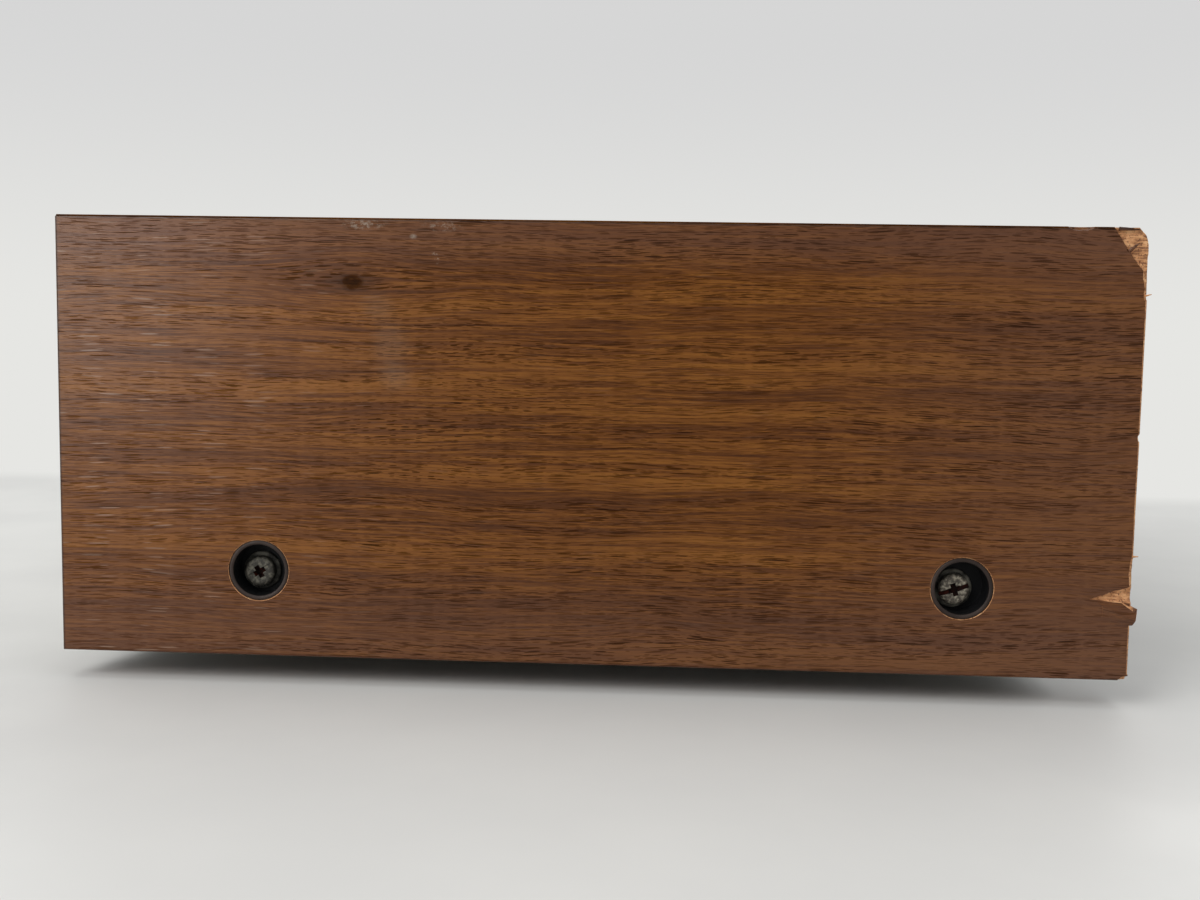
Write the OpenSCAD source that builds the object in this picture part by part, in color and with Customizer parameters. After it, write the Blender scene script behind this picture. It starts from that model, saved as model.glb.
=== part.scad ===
// Stereo integrated amplifier in a veneered wooden sleeve.
// +X is the listener's right, -Y the front, +Z up. The origin is the middle of the footprint, on the table.
// Every length is in millimetres.

/* [Cabinet] */
// Width over the two side boards
case_w = 420; // [410:1:480]
// Depth of the side boards, front edge to rear edge
case_d = 330; // [320:1:380]
// Height of the side boards
case_h = 136; // [134:1:160]
// Thickness of the veneered boards
board_t = 15; // [14:0.5:20]
// Gap from the table to the lower edges of the side boards
case_lift = 9; // [7:0.5:14]
// Leg of the triangular glue blocks in the upper corners
glue_block = 16; // [10:1:18]
// Distance of the glue blocks from the front and rear edges
glue_block_inset = 45; // [35:1:70]

/* [Top vents] */
// Number of vent slots in each of the two banks
vent_count = 17; // [8:1:19]
// Width of one vent slot
vent_w = 5; // [4:0.5:6]
// Length of one vent slot
vent_l = 66; // [40:1:74]
// Spacing of the slots in a bank
vent_pitch = 11; // [10:0.5:13]
// Distance from the middle of a bank to the middle of the cabinet's depth
vent_bank_y = 48; // [42:1:60]
// Thickness of the dust screen under the slots
screen_t = 0.8; // [0.6:0.1:1.5]
// Margin of the dust screen round the slots
screen_margin = 9; // [6:1:14]

/* [Cabinet screws] */
// Front ferrule's distance from the front edge
ferrule_front = 63; // [50:0.5:90]
// Rear ferrule's distance from the rear edge
ferrule_rear = 50.5; // [40:0.5:90]
// Height of the ferrules above the lower edge of the side board
ferrule_z = 27; // [22:0.5:36]
// Inside diameter of a ferrule
ferrule_id = 16.4; // [16:0.1:18]
// Wall thickness of a ferrule
ferrule_wall = 1.2; // [0.8:0.1:2]
// Depth of a ferrule
ferrule_depth = 10.5; // [9.5:0.5:11.5]
// Thickness of a ferrule's floor
ferrule_floor = 2; // [1.5:0.25:3]
// Distance that the sleeve sits back on its screws
play_y = 1.25; // [0:0.05:1.3]
// Distance that the sleeve sits up on its screws
play_z = 1.2; // [0:0.05:1.3]
// Shank diameter of a cabinet screw
case_screw_d = 5; // [4:0.5:5]
// Head diameter of a cabinet screw
case_head_d = 9.4; // [8.5:0.1:10]
// Head height of a cabinet screw
case_head_h = 3; // [2.5:0.1:3.5]
// Outside diameter of a cabinet screw's washer
case_washer_d = 12; // [11.8:0.1:12.4]
// Thickness of a cabinet screw's washer
case_washer_t = 1; // [0.8:0.1:1.4]

/* [Chassis] */
// Thickness of the chassis sheet
sheet_t = 1.2; // [1:0.1:1.6]
// Height of the chassis side walls
wall_h = 62; // [55:1:75]
// Width of the folded flanges that carry the front and rear panels
flange_w = 12; // [11:0.5:16]
// Gap between the chassis and the inside of the sleeve
slide_gap = 0.5; // [0.3:0.1:1.5]
// Height of the chassis floor above the lower edges of the side boards
tray_rise = 3; // [2:0.5:5]
// Depth of the rear panel inside the sleeve's rear edge
rear_recess = 14; // [13:0.5:20]
// Gap above the rear panel and the front subpanel
panel_headroom = 3; // [2:0.5:5]
// Thread diameter of the chassis screws
chassis_screw_d = 3; // [2.5:0.5:3]
// Number of vent slots in the chassis floor
floor_vent_count = 9; // [5:1:10]

/* [Feet] */
// Diameter of a foot at the table
foot_d = 22; // [20:1:28]
// Diameter of a foot at the chassis
foot_top_d = 26; // [24:1:30]
// Distance of the feet from the chassis walls
foot_inset_x = 55; // [45:1:70]
// Distance of the feet from the front and rear panels
foot_inset_y = 54; // [54:1:62]
// Thread diameter of the foot screws
foot_screw_d = 4; // [3:0.5:4]

/* [Front panel] */
// Depth of the front panel inside the sleeve's front edge
face_recess = 4; // [2:0.5:6]
// Thickness of the front panel
face_t = 4; // [3.5:0.25:6]
// Gap round the front panel
face_gap = 0.6; // [0.4:0.1:1.2]
// Thickness of the steel subpanel behind the front panel
sub_t = 1.5; // [1.2:0.1:2]
// Height of the upper row of controls above the front panel's middle
upper_row = 22; // [20:0.5:26]
// Height of the lower row of controls below the front panel's middle
lower_row = 30; // [26:0.5:34]

// Distance of the power button and pilot lamp from the left side board
power_inset = 33; // [28:1:38]
// Distance of the speaker switch and headphone jack from the power button
phones_pitch = 46; // [42:1:50]
// Spacing of the tone and balance controls
tone_pitch = 54; // [48:1:58]
// Distance of the volume control from the right side board
volume_inset = 43; // [39:1:48]
// Distance of the selector from the volume control
selector_pitch = 48; // [46:1:52]

/* [Knobs] */
// Diameter of the volume knob
volume_knob_d = 46; // [40:1:50]
// Height of the volume knob
volume_knob_h = 18; // [16:0.5:22]
// Diameter of the tone, balance, selector and speaker knobs
knob_d = 26; // [24:0.5:30]
// Height of the tone, balance, selector and speaker knobs
knob_h = 16; // [14:0.5:16]
// Gap behind the knobs
knob_gap = 1; // [0.6:0.1:2]
// Diameter of the control shafts
shaft_d = 6; // [6:0.25:6.5]
// Radial running gap of a shaft in its bushing
run_fit = 0.05; // [0.03:0.01:0.08]
// Outside diameter of the control bushings
bushing_d = 9.5; // [9:0.25:10]
// Width across the flats of the control nuts
nut_af = 12; // [11.5:0.5:13]
// Thickness of the control nuts
nut_t = 2; // [1.5:0.25:2.5]

/* [Lever switches] */
// Width of a lever
lever_w = 4.5; // [3.5:0.25:5]
// Length of a lever in front of the front panel
lever_reach = 12; // [9:0.5:14]
// Thickness of a lever at its tip
lever_tip = 4.6; // [4:0.2:5]
// Swing of a lever from one position to the other, in degrees
lever_swing = 24; // [16:1:26]
// Diameter of a lever's pivot pin
lever_pin_d = 2.5; // [2:0.25:3]
// Spacing of the lever switches
lever_pitch = 30; // [26:1:32]

/* [Power button and sockets] */
// Diameter of the power button
button_d = 13; // [11:0.5:14]
// Height of the power button in front of the front panel
button_proud = 7; // [6:0.5:8]
// Travel of the power button
button_travel = 4; // [3:0.25:4.5]
// Bore of the headphone jack
phones_bore = 6.4; // [6.35:0.05:6.5]
// Depth of the headphone jack's bore
phones_depth = 30; // [26:1:34]
// Outside diameter of the headphone jack's bushing
phones_bush_d = 9.4; // [9:0.1:11]
// Diameter of the pilot lens
lens_d = 7; // [6:0.5:8]

/* [Rear panel] */
// Columns of phono jacks
jack_columns = 5; // [3:1:6]
// Spacing of the phono jacks along a row
jack_pitch = 17; // [15:0.5:18]
// Spacing of the two rows of phono jacks
jack_row_pitch = 19; // [16:0.5:22]
// Outside diameter of a phono jack's shell
jack_d = 8.3; // [8:0.1:8.6]
// Length of a phono jack's shell
jack_l = 9; // [8:0.25:9.5]
// Diameter of a phono jack's centre contact hole
jack_hole_d = 3.3; // [3.1:0.1:3.5]
// Number of speaker terminals
terminal_count = 8; // [4:2:8]
// Spacing of the speaker terminals
terminal_pitch = 13; // [12:0.5:14]
// Height of the speaker terminal strip
terminal_h = 26; // [24:1:30]
// Outside diameter of the fuse cap
fuse_cap_d = 14; // [12:0.5:16]
// Bore of the mains cord gland
gland_bore = 7.5; // [6.5:0.25:8]

/* [Power supply] */
// Width of the transformer core
core_w = 84; // [76:1:88]
// Height of the transformer core
core_h = 70; // [66:1:76]
// Thickness of the lamination stack
core_stack = 40; // [34:1:44]
// Depth of a transformer cover
bell_depth = 18; // [17:0.5:20]
// Diameter of a filter capacitor
cap_d = 36; // [30:1:38]
// Height of a filter capacitor
cap_h = 80; // [60:1:85]

/* [Output stage] */
// Length of the heat sink
sink_l = 170; // [160:2:176]
// Height of the heat sink
sink_h = 72; // [60:1:78]
// Length of the heat sink's fins
fin_l = 26; // [20:1:30]
// Number of fins
fin_count = 18; // [10:1:20]
// Thickness of a circuit board
pcb_t = 1.6; // [1.2:0.2:2]
// Height of the circuit boards above the chassis floor
pcb_lift = 8; // [6:0.5:10]

/* [Hidden] */
$fn = 64;

// Small overlap that makes a cut clean
cut = 1;
// Radial gap of a press-in piece or a screw in its hole
hole_fit = 0.05;
// Radial gap of a piece that passes freely through a panel
pass_gap = 0.3;

// Sleeve
knob_reach = knob_gap + volume_knob_h - face_recess;
front_y = (knob_reach - case_d) / 2;
rear_y = front_y + case_d;
middle_y = (front_y + rear_y) / 2;
case_top = case_lift + case_h;
inner_x = case_w / 2 - board_t;
inner_top = case_top - board_t;

screen_slot_w = 4;
screen_slot_pitch = 8;

// Front panel stack
face_y = front_y + face_recess;
face_back = face_y + face_t;
sub_back = face_back + sub_t;
front_stack = face_t + sub_t;
face_low = case_lift + face_gap;
face_high = inner_top - face_gap;
face_middle = (face_low + face_high) / 2;
upper_z = face_middle + upper_row;
lower_z = face_middle - lower_row;
volume_rise = 4;
volume_z = face_middle + volume_rise;

// Chassis
tray_z = case_lift + tray_rise;
deck_z = tray_z + sheet_t;
wall_x = inner_x - slide_gap;
back_out = rear_y - rear_recess;
back_in = back_out - sheet_t;
panel_top = inner_top - panel_headroom;

sink_vent_pitch = 16;
core_vent_pitch = 12;

// Cabinet screws
ferrule_y = [front_y + ferrule_front, rear_y - ferrule_rear];
ferrule_centre_z = case_lift + ferrule_z;
ferrule_od = ferrule_id + 2 * ferrule_wall;
ferrule_hole = case_screw_d + 2 * norm([play_y, play_z]) + 2 * hole_fit;
case_screw_seat = ferrule_depth - ferrule_floor;
case_boss_wall = 2.5;
case_boss_d = case_screw_d + 2 * case_boss_wall;
case_boss_h = 4;
case_screw_reach = board_t + slide_gap + sheet_t + case_boss_h;

// Feet
foot_x = wall_x - foot_inset_x;
foot_y = [sub_back + foot_inset_y, back_in - foot_inset_y];
foot_head_d = foot_screw_d * 2;
foot_head_h = foot_screw_d * 0.7;
foot_head_recess = 3;
foot_nut_h = 3.2;

// Places of the controls along the front panel
power_x = power_inset - inner_x;
phones_x = power_x + phones_pitch;
speaker_x = phones_x;
treble_x = -2;
bass_x = treble_x - tone_pitch;
balance_x = treble_x + tone_pitch;
volume_x = inner_x - volume_inset;
selector_x = volume_x - selector_pitch;
lever_middle_x = treble_x;
LEVER_NAMES = ["loudness", "low_filter", "high_filter", "tape", "mode"];

// Control hardware
nut_hole_d = nut_af / cos(30) + 2;
bushing_l = sub_t + nut_t + 1;
shaft_in = 12;
bore_h = 11;
shaft_end_gap = 1;
volume_angle = -60;
speaker_angle = -15;
selector_angle = -30;
pot_d = 25;
pot_l = 22;
wafer_d = 34;
wafer_t = 1.6;
wafer_z = [14, 21];
rotor_d = 14;

// Lever switches
lever_box = [11, 25, 18];
lever_lug = [2, 0.8, 6.5];
lever_pivot = 7;
lever_hub_d = lever_pin_d + 4.5;
lever_root = 3.4;
lever_play = 0.4;
lever_slot_w = lever_w + 2 * lever_play;
lever_length = lever_pivot + front_stack + lever_reach;
lever_slot_h = 2 * (lever_pivot + front_stack) * tan(lever_swing / 2) + lever_tip + 4 * lever_play;

// Folded edges of the tray, below the lever switches
lip_gap = 1;
lip_h = lower_z - lever_box[1] / 2 - lip_gap - tray_z;
chassis_head_d = 2 * chassis_screw_d;
chassis_head_h = 0.6 * chassis_screw_d;
flange_screw_inset = 8;
flange_screw_z = [lip_h + chassis_head_d, wall_h - flange_screw_inset];
chassis_screw_end = 3;
face_screw_edge = 55;
face_screw_x = inner_x - face_screw_edge;
face_screw_inset = 8;
face_screw_z = [tray_z + lip_h + face_screw_inset, panel_top - face_screw_inset];
face_screw_bite = face_t - 1;

// Power button
button_stem_d = 6;
button_tail = front_stack - 2;
button_l = button_proud + button_tail;
power_box = [20, 20, 30];
button_well = button_travel + 1;
button_stem_l = 14;

// Pilot lamp
lens_seat = 0.75;
lamp_holder_l = 20;

// Headphone jack
phones_nut_t = 2.5;
phones_nut_d = phones_bush_d + 5;
phones_rim = 0.5;
phones_end = 3;
phones_front = front_stack + phones_nut_t + phones_rim;
phones_box = [16, 20, phones_depth - phones_front + phones_end];

// Rear sockets
socket_rise = 74;
jack_inset = 95;
ground_inset = 31;
fuse_inset = 60;
gland_inset = 30;
gland_rise = 34;
jack_middle_x = inner_x - jack_inset;
jack_middle_z = tray_z + socket_rise;
jack_board_t = 1.6;
jack_flange_d = jack_d + 3.5;
jack_flange_t = 1;
jack_board_margin = 11;
jack_screw_inset = 3.6;
jack_lug = [2, 0.8, 7];
terminal_middle_x = -40;
terminal_middle_z = tray_z + socket_rise;
terminal_base_t = 5;
terminal_rib_t = 2;
terminal_rib_h = 6;
terminal_head_d = 7;
terminal_head_h = 2.6;
terminal_washer = [8, 8, 1];
terminal_l = terminal_count * terminal_pitch + terminal_rib_t;
terminal_ear = 9;
terminal_ear_t = 3;
ground_x = inner_x - ground_inset;
ground_z = tray_z + socket_rise;
fuse_x = fuse_inset - inner_x;
fuse_z = tray_z + socket_rise;
fuse_barrel_d = 13;
fuse_barrel_l = 32;
fuse_flange_t = 2;
fuse_cap_h = 8;
fuse_cap_gap = 0.2;
fuse_rim = 2;
fuse_stem_d = 8;
fuse_stem_l = 14;
gland_x = gland_inset - inner_x;
gland_z = tray_z + gland_rise;
gland_wall = 2.5;
gland_neck_d = gland_bore + 2 * gland_wall;
gland_rim_d = gland_neck_d + 3;
gland_flange_d = gland_neck_d + 6;
gland_flange_t = 4;
gland_inner_t = 3;

// Insides
foot_nut_gap = 8;
bell_foot = 14;
core_inset = 28;
core_x = core_inset + core_w / 2 - inner_x;
core_y = foot_y[1] - foot_nut_gap - core_stack / 2 - bell_depth - bell_foot;
core_leg = core_w / 6;
coil_t = core_leg - 1;
coil_h = core_h - 2 * core_leg - 1;
bell_t = 1.2;
bell_screw_inset = 10;
bolt_d = 4;
cap_gap_x = 19;
cap_gap_y = 16;
cap_inset = 52;
cap_x = core_x + core_w / 2 + cap_gap_x + cap_d / 2;
cap_rear_y = back_in - cap_inset - cap_d / 2;
cap_y = [cap_rear_y - cap_d - cap_gap_y, cap_rear_y];
cap_disc = 1;
clamp_ear = 10;
clamp_split = 2;
clamp_t = 1.2;
clamp_h = 14;
sink_base_t = 6;
sink_gap_x = 14;
sink_gap_y = 12;
sink_x = wall_x - sink_gap_x - sink_l / 2;
sink_y = back_in - sink_gap_y - fin_l - sink_base_t;
transistor_base = [38, 26, 1.8];
transistor_can_d = 20;
transistor_can_h = 7;
transistor_pitch = 41;
transistor_z = 43;
fin_t = 2;
pcb_z = deck_z + pcb_lift;
pcb_gap_x = 20;
pcb_gap_y = 42;
pcb_split = 21;
preamp_size = [208, 62];
power_size = [2 * (wall_x - pcb_gap_x) - preamp_size[0] - pcb_split, preamp_size[1]];
driver_size = [158, 66];
driver_gap = 30;
// Each circuit board's lowest X and Y corner, then its length along X and Y
power_pcb = concat([pcb_gap_x - wall_x, sub_back + pcb_gap_y], power_size);
driver_pcb = concat([sink_x - driver_size[0] / 2, sink_y - driver_gap - driver_size[1]], driver_size);
preamp_pcb = concat([wall_x - pcb_gap_x - preamp_size[0], sub_back + pcb_gap_y], preamp_size);
standoff_d = 6;
standoff_inset = 6;
// Each standing component: its diameter, height, least spacing and distance from the board's edges
power_part = [12, 20, 28, 16];
driver_part = [9, 14, 25, 15];
preamp_part = [7, 12, 25, 15];
// The resistors: their body, least spacing on the driver and preamplifier boards, and distance from the edges
resistor_body = [8, 2.6, 2.6];
driver_resistor_pitch = 17;
preamp_resistor_pitch = 19;
resistor_margin = 27;

// Wiring
wire_d = 2;
wire_bend = 2;
loom_d = 4;
loom_bend = 6;
loom_step = 9;
board_top = pcb_z + pcb_t;
power_middle_y = power_pcb[1] + power_pcb[3] / 2;
preamp_middle_y = preamp_pcb[1] + preamp_pcb[3] / 2;
driver_middle = [driver_pcb[0] + driver_pcb[2] / 2, driver_pcb[1] + driver_pcb[3] / 2];
lane_gap = 12;
lane_x = wall_x - lane_gap;
fuse_tail_y = back_out - fuse_barrel_l;
fuse_wire_room = 14;
mains_y = fuse_tail_y - fuse_wire_room;
switch_y = sub_back + power_box[2] - loom_d;
cover_front_y = core_y - core_stack / 2 - bell_depth;
coil_middle_z = deck_z + bell_t + core_h / 2;
supply_lead_shift = 20;
supply_x = core_x + supply_lead_shift;
cap_top = deck_z + cap_h - cap_disc;
supply_z = deck_z + cap_h + loom_step;
feed_gap = 14;
feed_y = cap_y[1] + feed_gap;
speaker_lead_shift = 40;
speaker_lead_x = driver_middle[0] - speaker_lead_shift;
speaker_z = supply_z + loom_step;
terminal_lane_y = back_in - loom_step;
jack_tail_y = back_in - jack_lug[2];
jack_lane_gap = 2.5;
jack_lane_y = jack_tail_y - jack_lane_gap;
jack_wire_step = 5;
signal_inset = 14.5;
signal_x = preamp_pcb[0] + preamp_pcb[2] - signal_inset;
signal_z = jack_middle_z + jack_row_pitch / 2 + loom_step + loom_d / 2;
control_lane_gap = 33;
control_y = sub_back + control_lane_gap;
control_drop = 10;
control_z = upper_z - control_drop;
control_drop_x = (selector_x + balance_x) / 2;
control_inset = 6;
control_drop_y = preamp_pcb[1] + control_inset;

// Shared shapes

// Places its children on both side boards' outer faces, at each ferrule, with +Z pointing out of the board
module at_side_screws(shift_y, shift_z) {
    for (side = [0, 1])
        mirror([side, 0, 0])
            for (y = ferrule_y)
                translate([case_w / 2, y + shift_y, ferrule_centre_z + shift_z])
                    rotate([0, 90, 0]) children();
}

// Places its children on the subpanel's rear face, with +Z pointing into the case
module at_front(x, z) {
    translate([x, sub_back, z]) rotate([-90, 0, 0]) children();
}

// Places its children on the rear panel's outer face, with +Z pointing out to the rear
module at_rear(x, z) {
    translate([x, back_out, z]) rotate([-90, 0, 0]) children();
}

// A box given by two corners
module block(low, high) {
    translate(low) cube(high - low);
}

// An outline in X and Z, drawn out from the front edge of the sleeve to its rear edge
module along_case(from_y, to_y) {
    translate([0, to_y, 0]) rotate([90, 0, 0]) linear_extrude(to_y - from_y) children();
}

// A slot with round ends, along Y
module slot_outline(width, length) {
    square([width, length - width], center = true);
    for (end = [-1, 1]) translate([0, end * (length - width) / 2]) circle(d = width);
}

// A round-headed screw with its seat at Z 0 and its shank towards -Z
module round_screw(shank_d, shank_l, head_d, head_h) {
    difference() {
        intersection() {
            cylinder(d = head_d, h = head_h);
            translate([0, 0, head_h - head_d]) sphere(r = head_d);
        }
        for (turn = [0, 90])
            rotate([0, 0, turn])
                translate([-head_d * 0.28, -head_d * 0.065, head_h * 0.4])
                    cube([head_d * 0.56, head_d * 0.13, head_h]);
    }
    translate([0, 0, -shank_l]) cylinder(d = shank_d, h = shank_l + head_h * 0.3);
}

// A chassis screw of a given shank length
module chassis_screw(shank_l) {
    round_screw(chassis_screw_d, shank_l, chassis_head_d, chassis_head_h);
}

// The drill for a hole along Z, a little longer than the wall it goes through
module hole(diameter, from_z, to_z) {
    translate([0, 0, from_z - cut]) cylinder(d = diameter, h = to_z - from_z + 2 * cut);
}

// A flat ring
module ring(outer_d, inner_d, height) {
    difference() {
        cylinder(d = outer_d, h = height);
        hole(inner_d, 0, height);
    }
}

// Sleeve

// The right-hand side board: mitred at the top, counterbored for the ferrules
module side_board() {
    color("saddlebrown") difference() {
        along_case(front_y, rear_y)
            polygon([
                [inner_x, case_lift], [case_w / 2, case_lift],
                [case_w / 2, case_top], [inner_x, inner_top]
            ]);
        for (y = ferrule_y)
            translate([case_w / 2 + cut, y, ferrule_centre_z])
                rotate([0, -90, 0]) {
                    cylinder(d = ferrule_od + 2 * hole_fit, h = ferrule_depth + cut);
                    cylinder(d = ferrule_hole, h = board_t + 2 * cut);
                }
    }
}

module left_side_board() {
    mirror([1, 0, 0]) side_board();
}

module right_side_board() {
    side_board();
}

// Places its children at the middle of each vent slot
module at_vents() {
    for (bank = [-1, 1])
        for (i = [0 : vent_count - 1])
            translate([(i - (vent_count - 1) / 2) * vent_pitch, middle_y + bank * vent_bank_y]) children();
}

module top_board() {
    color("saddlebrown") difference() {
        along_case(front_y, rear_y)
            polygon([
                [-case_w / 2, case_top], [case_w / 2, case_top],
                [inner_x, inner_top], [-inner_x, inner_top]
            ]);
        translate([0, 0, inner_top - cut])
            linear_extrude(board_t + 2 * cut) at_vents() slot_outline(vent_w, vent_l);
    }
}

module glue_blocks() {
    color("tan")
        for (side = [0, 1])
            mirror([side, 0, 0])
                along_case(front_y + glue_block_inset, rear_y - glue_block_inset)
                    polygon([
                        [inner_x, inner_top], [inner_x - glue_block, inner_top],
                        [inner_x, inner_top - glue_block]
                    ]);
}

// Steel screen under the vents, with long slots across the vent slots
module dust_screen() {
    screen_w = (vent_count - 1) * vent_pitch + vent_w + 2 * screen_margin;
    screen_l = 2 * vent_bank_y + vent_l + 2 * screen_margin;
    rows = floor((vent_l - screen_slot_w) / screen_slot_pitch);
    color("dimgray") difference() {
        translate([-screen_w / 2, middle_y - screen_l / 2, inner_top - screen_t])
            cube([screen_w, screen_l, screen_t]);
        translate([0, middle_y, inner_top - screen_t - cut])
            linear_extrude(screen_t + 2 * cut)
                for (bank = [-1, 1])
                    for (i = [0 : rows - 1])
                        translate([0, bank * vent_bank_y + (i - (rows - 1) / 2) * screen_slot_pitch])
                            rotate(90) slot_outline(screen_slot_w, screen_w - 2 * screen_margin);
    }
}

module case_ferrules() {
    color("#2b2320") at_side_screws(0, 0) difference() {
        translate([0, 0, -ferrule_depth]) cylinder(d = ferrule_od, h = ferrule_depth);
        translate([0, 0, -case_screw_seat]) cylinder(d = ferrule_id, h = ferrule_depth);
        translate([0, 0, -ferrule_depth - cut]) cylinder(d = ferrule_hole, h = ferrule_depth);
    }
}

// Cabinet screws with their washers, off the middle of the ferrules by the sleeve's play
module case_screws() {
    head_z = case_washer_t - case_screw_seat;
    color("#55504a") at_side_screws(-play_y, -play_z) {
        translate([0, 0, -case_screw_seat])
            ring(case_washer_d, case_screw_d + 4 * hole_fit, case_washer_t);
        translate([0, 0, head_z])
            round_screw(case_screw_d, case_screw_reach + head_z, case_head_d, case_head_h);
    }
}

// Chassis

// Places its children at the screws of the front flanges, with +Z pointing to the rear
module at_front_flange_screws() {
    for (side = [-1, 1])
        for (rise = flange_screw_z)
            translate([side * (wall_x - flange_w / 2 - sheet_t / 2), sub_back, tray_z + rise])
                rotate([-90, 0, 0]) children();
}

// Places its children at the screws of the rear flanges, with +Z pointing to the rear
module at_rear_flange_screws() {
    for (side = [-1, 1])
        for (rise = flange_screw_z)
            translate([side * (wall_x - flange_w / 2 - sheet_t / 2), back_in, tray_z + rise])
                rotate([-90, 0, 0]) children();
}

// Places its children at the screws that draw the front panel to the subpanel, with +Z pointing to the rear
module at_face_screws() {
    for (side = [-1, 1])
        for (z = face_screw_z) at_front(side * face_screw_x, z) children();
}

// Places its children at the screws of the phono jack board and of the terminal strip, with +Z pointing out
module at_strip_screws(inside) {
    jack_reach = (jack_columns - 1) / 2 * jack_pitch + jack_board_margin - jack_screw_inset;
    terminal_reach = (terminal_l + terminal_ear) / 2;
    for (side = [-1, 1]) {
        at_rear(jack_middle_x + side * jack_reach, jack_middle_z)
            translate([0, 0, inside ? 0 : jack_board_t]) children();
        at_rear(terminal_middle_x + side * terminal_reach, terminal_middle_z)
            translate([0, 0, inside ? 0 : terminal_ear_t]) children();
    }
}

module at_feet() {
    for (side = [-1, 1])
        for (y = foot_y) translate([side * foot_x, y, 0]) children();
}

// Places its children at the base screws of the transformer
module at_transformer_feet() {
    reach_x = core_w / 2 - bell_screw_inset;
    reach_y = core_stack / 2 + bell_depth + bell_foot / 2;
    for (side_x = [-1, 1])
        for (side_y = [-1, 1])
            translate([core_x + side_x * reach_x, core_y + side_y * reach_y, 0]) children();
}

// Folded steel tray: floor, side walls, lips and the flanges that the panels screw to
module chassis_tray() {
    color("lightgray") difference() {
        union() {
            block([-wall_x, sub_back, tray_z], [wall_x, back_in, deck_z]);
            for (y = [sub_back, back_in - sheet_t])
                block([-wall_x, y, tray_z], [wall_x, y + sheet_t, tray_z + lip_h]);
            for (side = [0, 1]) mirror([side, 0, 0]) {
                block([wall_x - sheet_t, sub_back, tray_z], [wall_x, back_in, tray_z + wall_h]);
                for (y = [sub_back, back_in - sheet_t])
                    block([wall_x - flange_w, y, tray_z], [wall_x, y + sheet_t, tray_z + wall_h]);
            }
            at_side_screws(-play_y, -play_z)
                translate([0, 0, -case_screw_reach]) cylinder(d = case_boss_d, h = case_boss_h + sheet_t / 2);
        }
        at_side_screws(-play_y, -play_z)
            translate([0, 0, -case_screw_reach - cut])
                cylinder(d = case_screw_d + 2 * hole_fit, h = case_boss_h + sheet_t + 2 * cut);
        at_feet() hole(foot_screw_d + 2 * hole_fit, tray_z, deck_z);
        at_transformer_feet() hole(chassis_screw_d + 2 * hole_fit, tray_z, deck_z);
        at_front_flange_screws() hole(chassis_screw_d + 2 * hole_fit, 0, sheet_t);
        at_rear_flange_screws() hole(chassis_screw_d + 2 * hole_fit, -sheet_t, 0);
        translate([sink_x, sink_y + sink_base_t + fin_l / 2, tray_z - cut])
            linear_extrude(sheet_t + 2 * cut)
                for (i = [0 : floor_vent_count - 1])
                    translate([(i - (floor_vent_count - 1) / 2) * sink_vent_pitch, 0])
                        slot_outline(vent_w, fin_l - fin_t);
        translate([core_x, core_y, tray_z - cut])
            linear_extrude(sheet_t + 2 * cut)
                for (i = [-2 : 2])
                    translate([i * core_vent_pitch, 0]) slot_outline(vent_w, core_stack - vent_w);
    }
}

module rear_panel() {
    color("#3a3b3d") difference() {
        block([-wall_x, back_in, tray_z], [wall_x, back_out, panel_top]);
        at_rear_flange_screws() hole(chassis_screw_d + 2 * pass_gap, 0, sheet_t);
        at_strip_screws(true) hole(chassis_screw_d + 2 * hole_fit, -sheet_t, 0);
        at_jacks() hole(jack_d + 2 * pass_gap, -sheet_t, 0);
        at_terminals() hole(terminal_head_d, -sheet_t, 0);
        at_rear(ground_x, ground_z) hole(foot_screw_d + 2 * hole_fit, -sheet_t, 0);
        at_rear(fuse_x, fuse_z) hole(fuse_barrel_d + 2 * hole_fit, -sheet_t, 0);
        at_rear(gland_x, gland_z) hole(gland_neck_d + 2 * hole_fit, -sheet_t, 0);
    }
}

// Steel plate behind the front panel that carries every control
module front_subpanel() {
    color("lightgray") difference() {
        block([-wall_x, face_back, tray_z], [wall_x, sub_back, panel_top]);
        at_front_flange_screws() hole(chassis_screw_d + 2 * pass_gap, -sub_t, 0);
        at_face_screws() hole(chassis_screw_d + 2 * pass_gap, -sub_t, 0);
        at_shafts() hole(bushing_d + 2 * hole_fit, -sub_t, 0);
        at_levers()
            translate([-lever_slot_w / 2, -lever_slot_h / 2, -sub_t - cut])
                cube([lever_slot_w, lever_slot_h, sub_t + 2 * cut]);
        at_front(power_x, lower_z) hole(button_d + 2 * pass_gap, -sub_t, 0);
        at_front(phones_x, lower_z) hole(phones_bush_d + 2 * hole_fit, -sub_t, 0);
        at_front(power_x, upper_z) hole(lens_d - 2 * lens_seat, -sub_t, 0);
    }
}

module front_panel() {
    face_x = inner_x - face_gap;
    color("silver") difference() {
        block([-face_x, face_y, face_low], [face_x, face_back, face_high]);
        at_shafts() hole(nut_hole_d, -front_stack, -sub_t);
        at_front_flange_screws()
            translate([0, 0, -sub_t - chassis_head_h - pass_gap])
                cylinder(d = chassis_head_d + 2, h = chassis_head_h + pass_gap + cut);
        at_face_screws()
            translate([0, 0, -sub_t - face_screw_bite])
                cylinder(d = chassis_screw_d + 2 * hole_fit, h = face_screw_bite + cut);
        at_levers()
            translate([-lever_slot_w / 2, -lever_slot_h / 2, -front_stack - cut])
                cube([lever_slot_w, lever_slot_h, face_t + 2 * cut]);
        at_front(power_x, lower_z) hole(button_d + 2 * pass_gap, -front_stack, -sub_t);
        at_front(phones_x, lower_z) hole(phones_bush_d + 2 * hole_fit, -front_stack, -sub_t);
        at_front(power_x, upper_z) hole(lens_d + 2 * hole_fit, -front_stack, -sub_t);
    }
}

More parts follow.
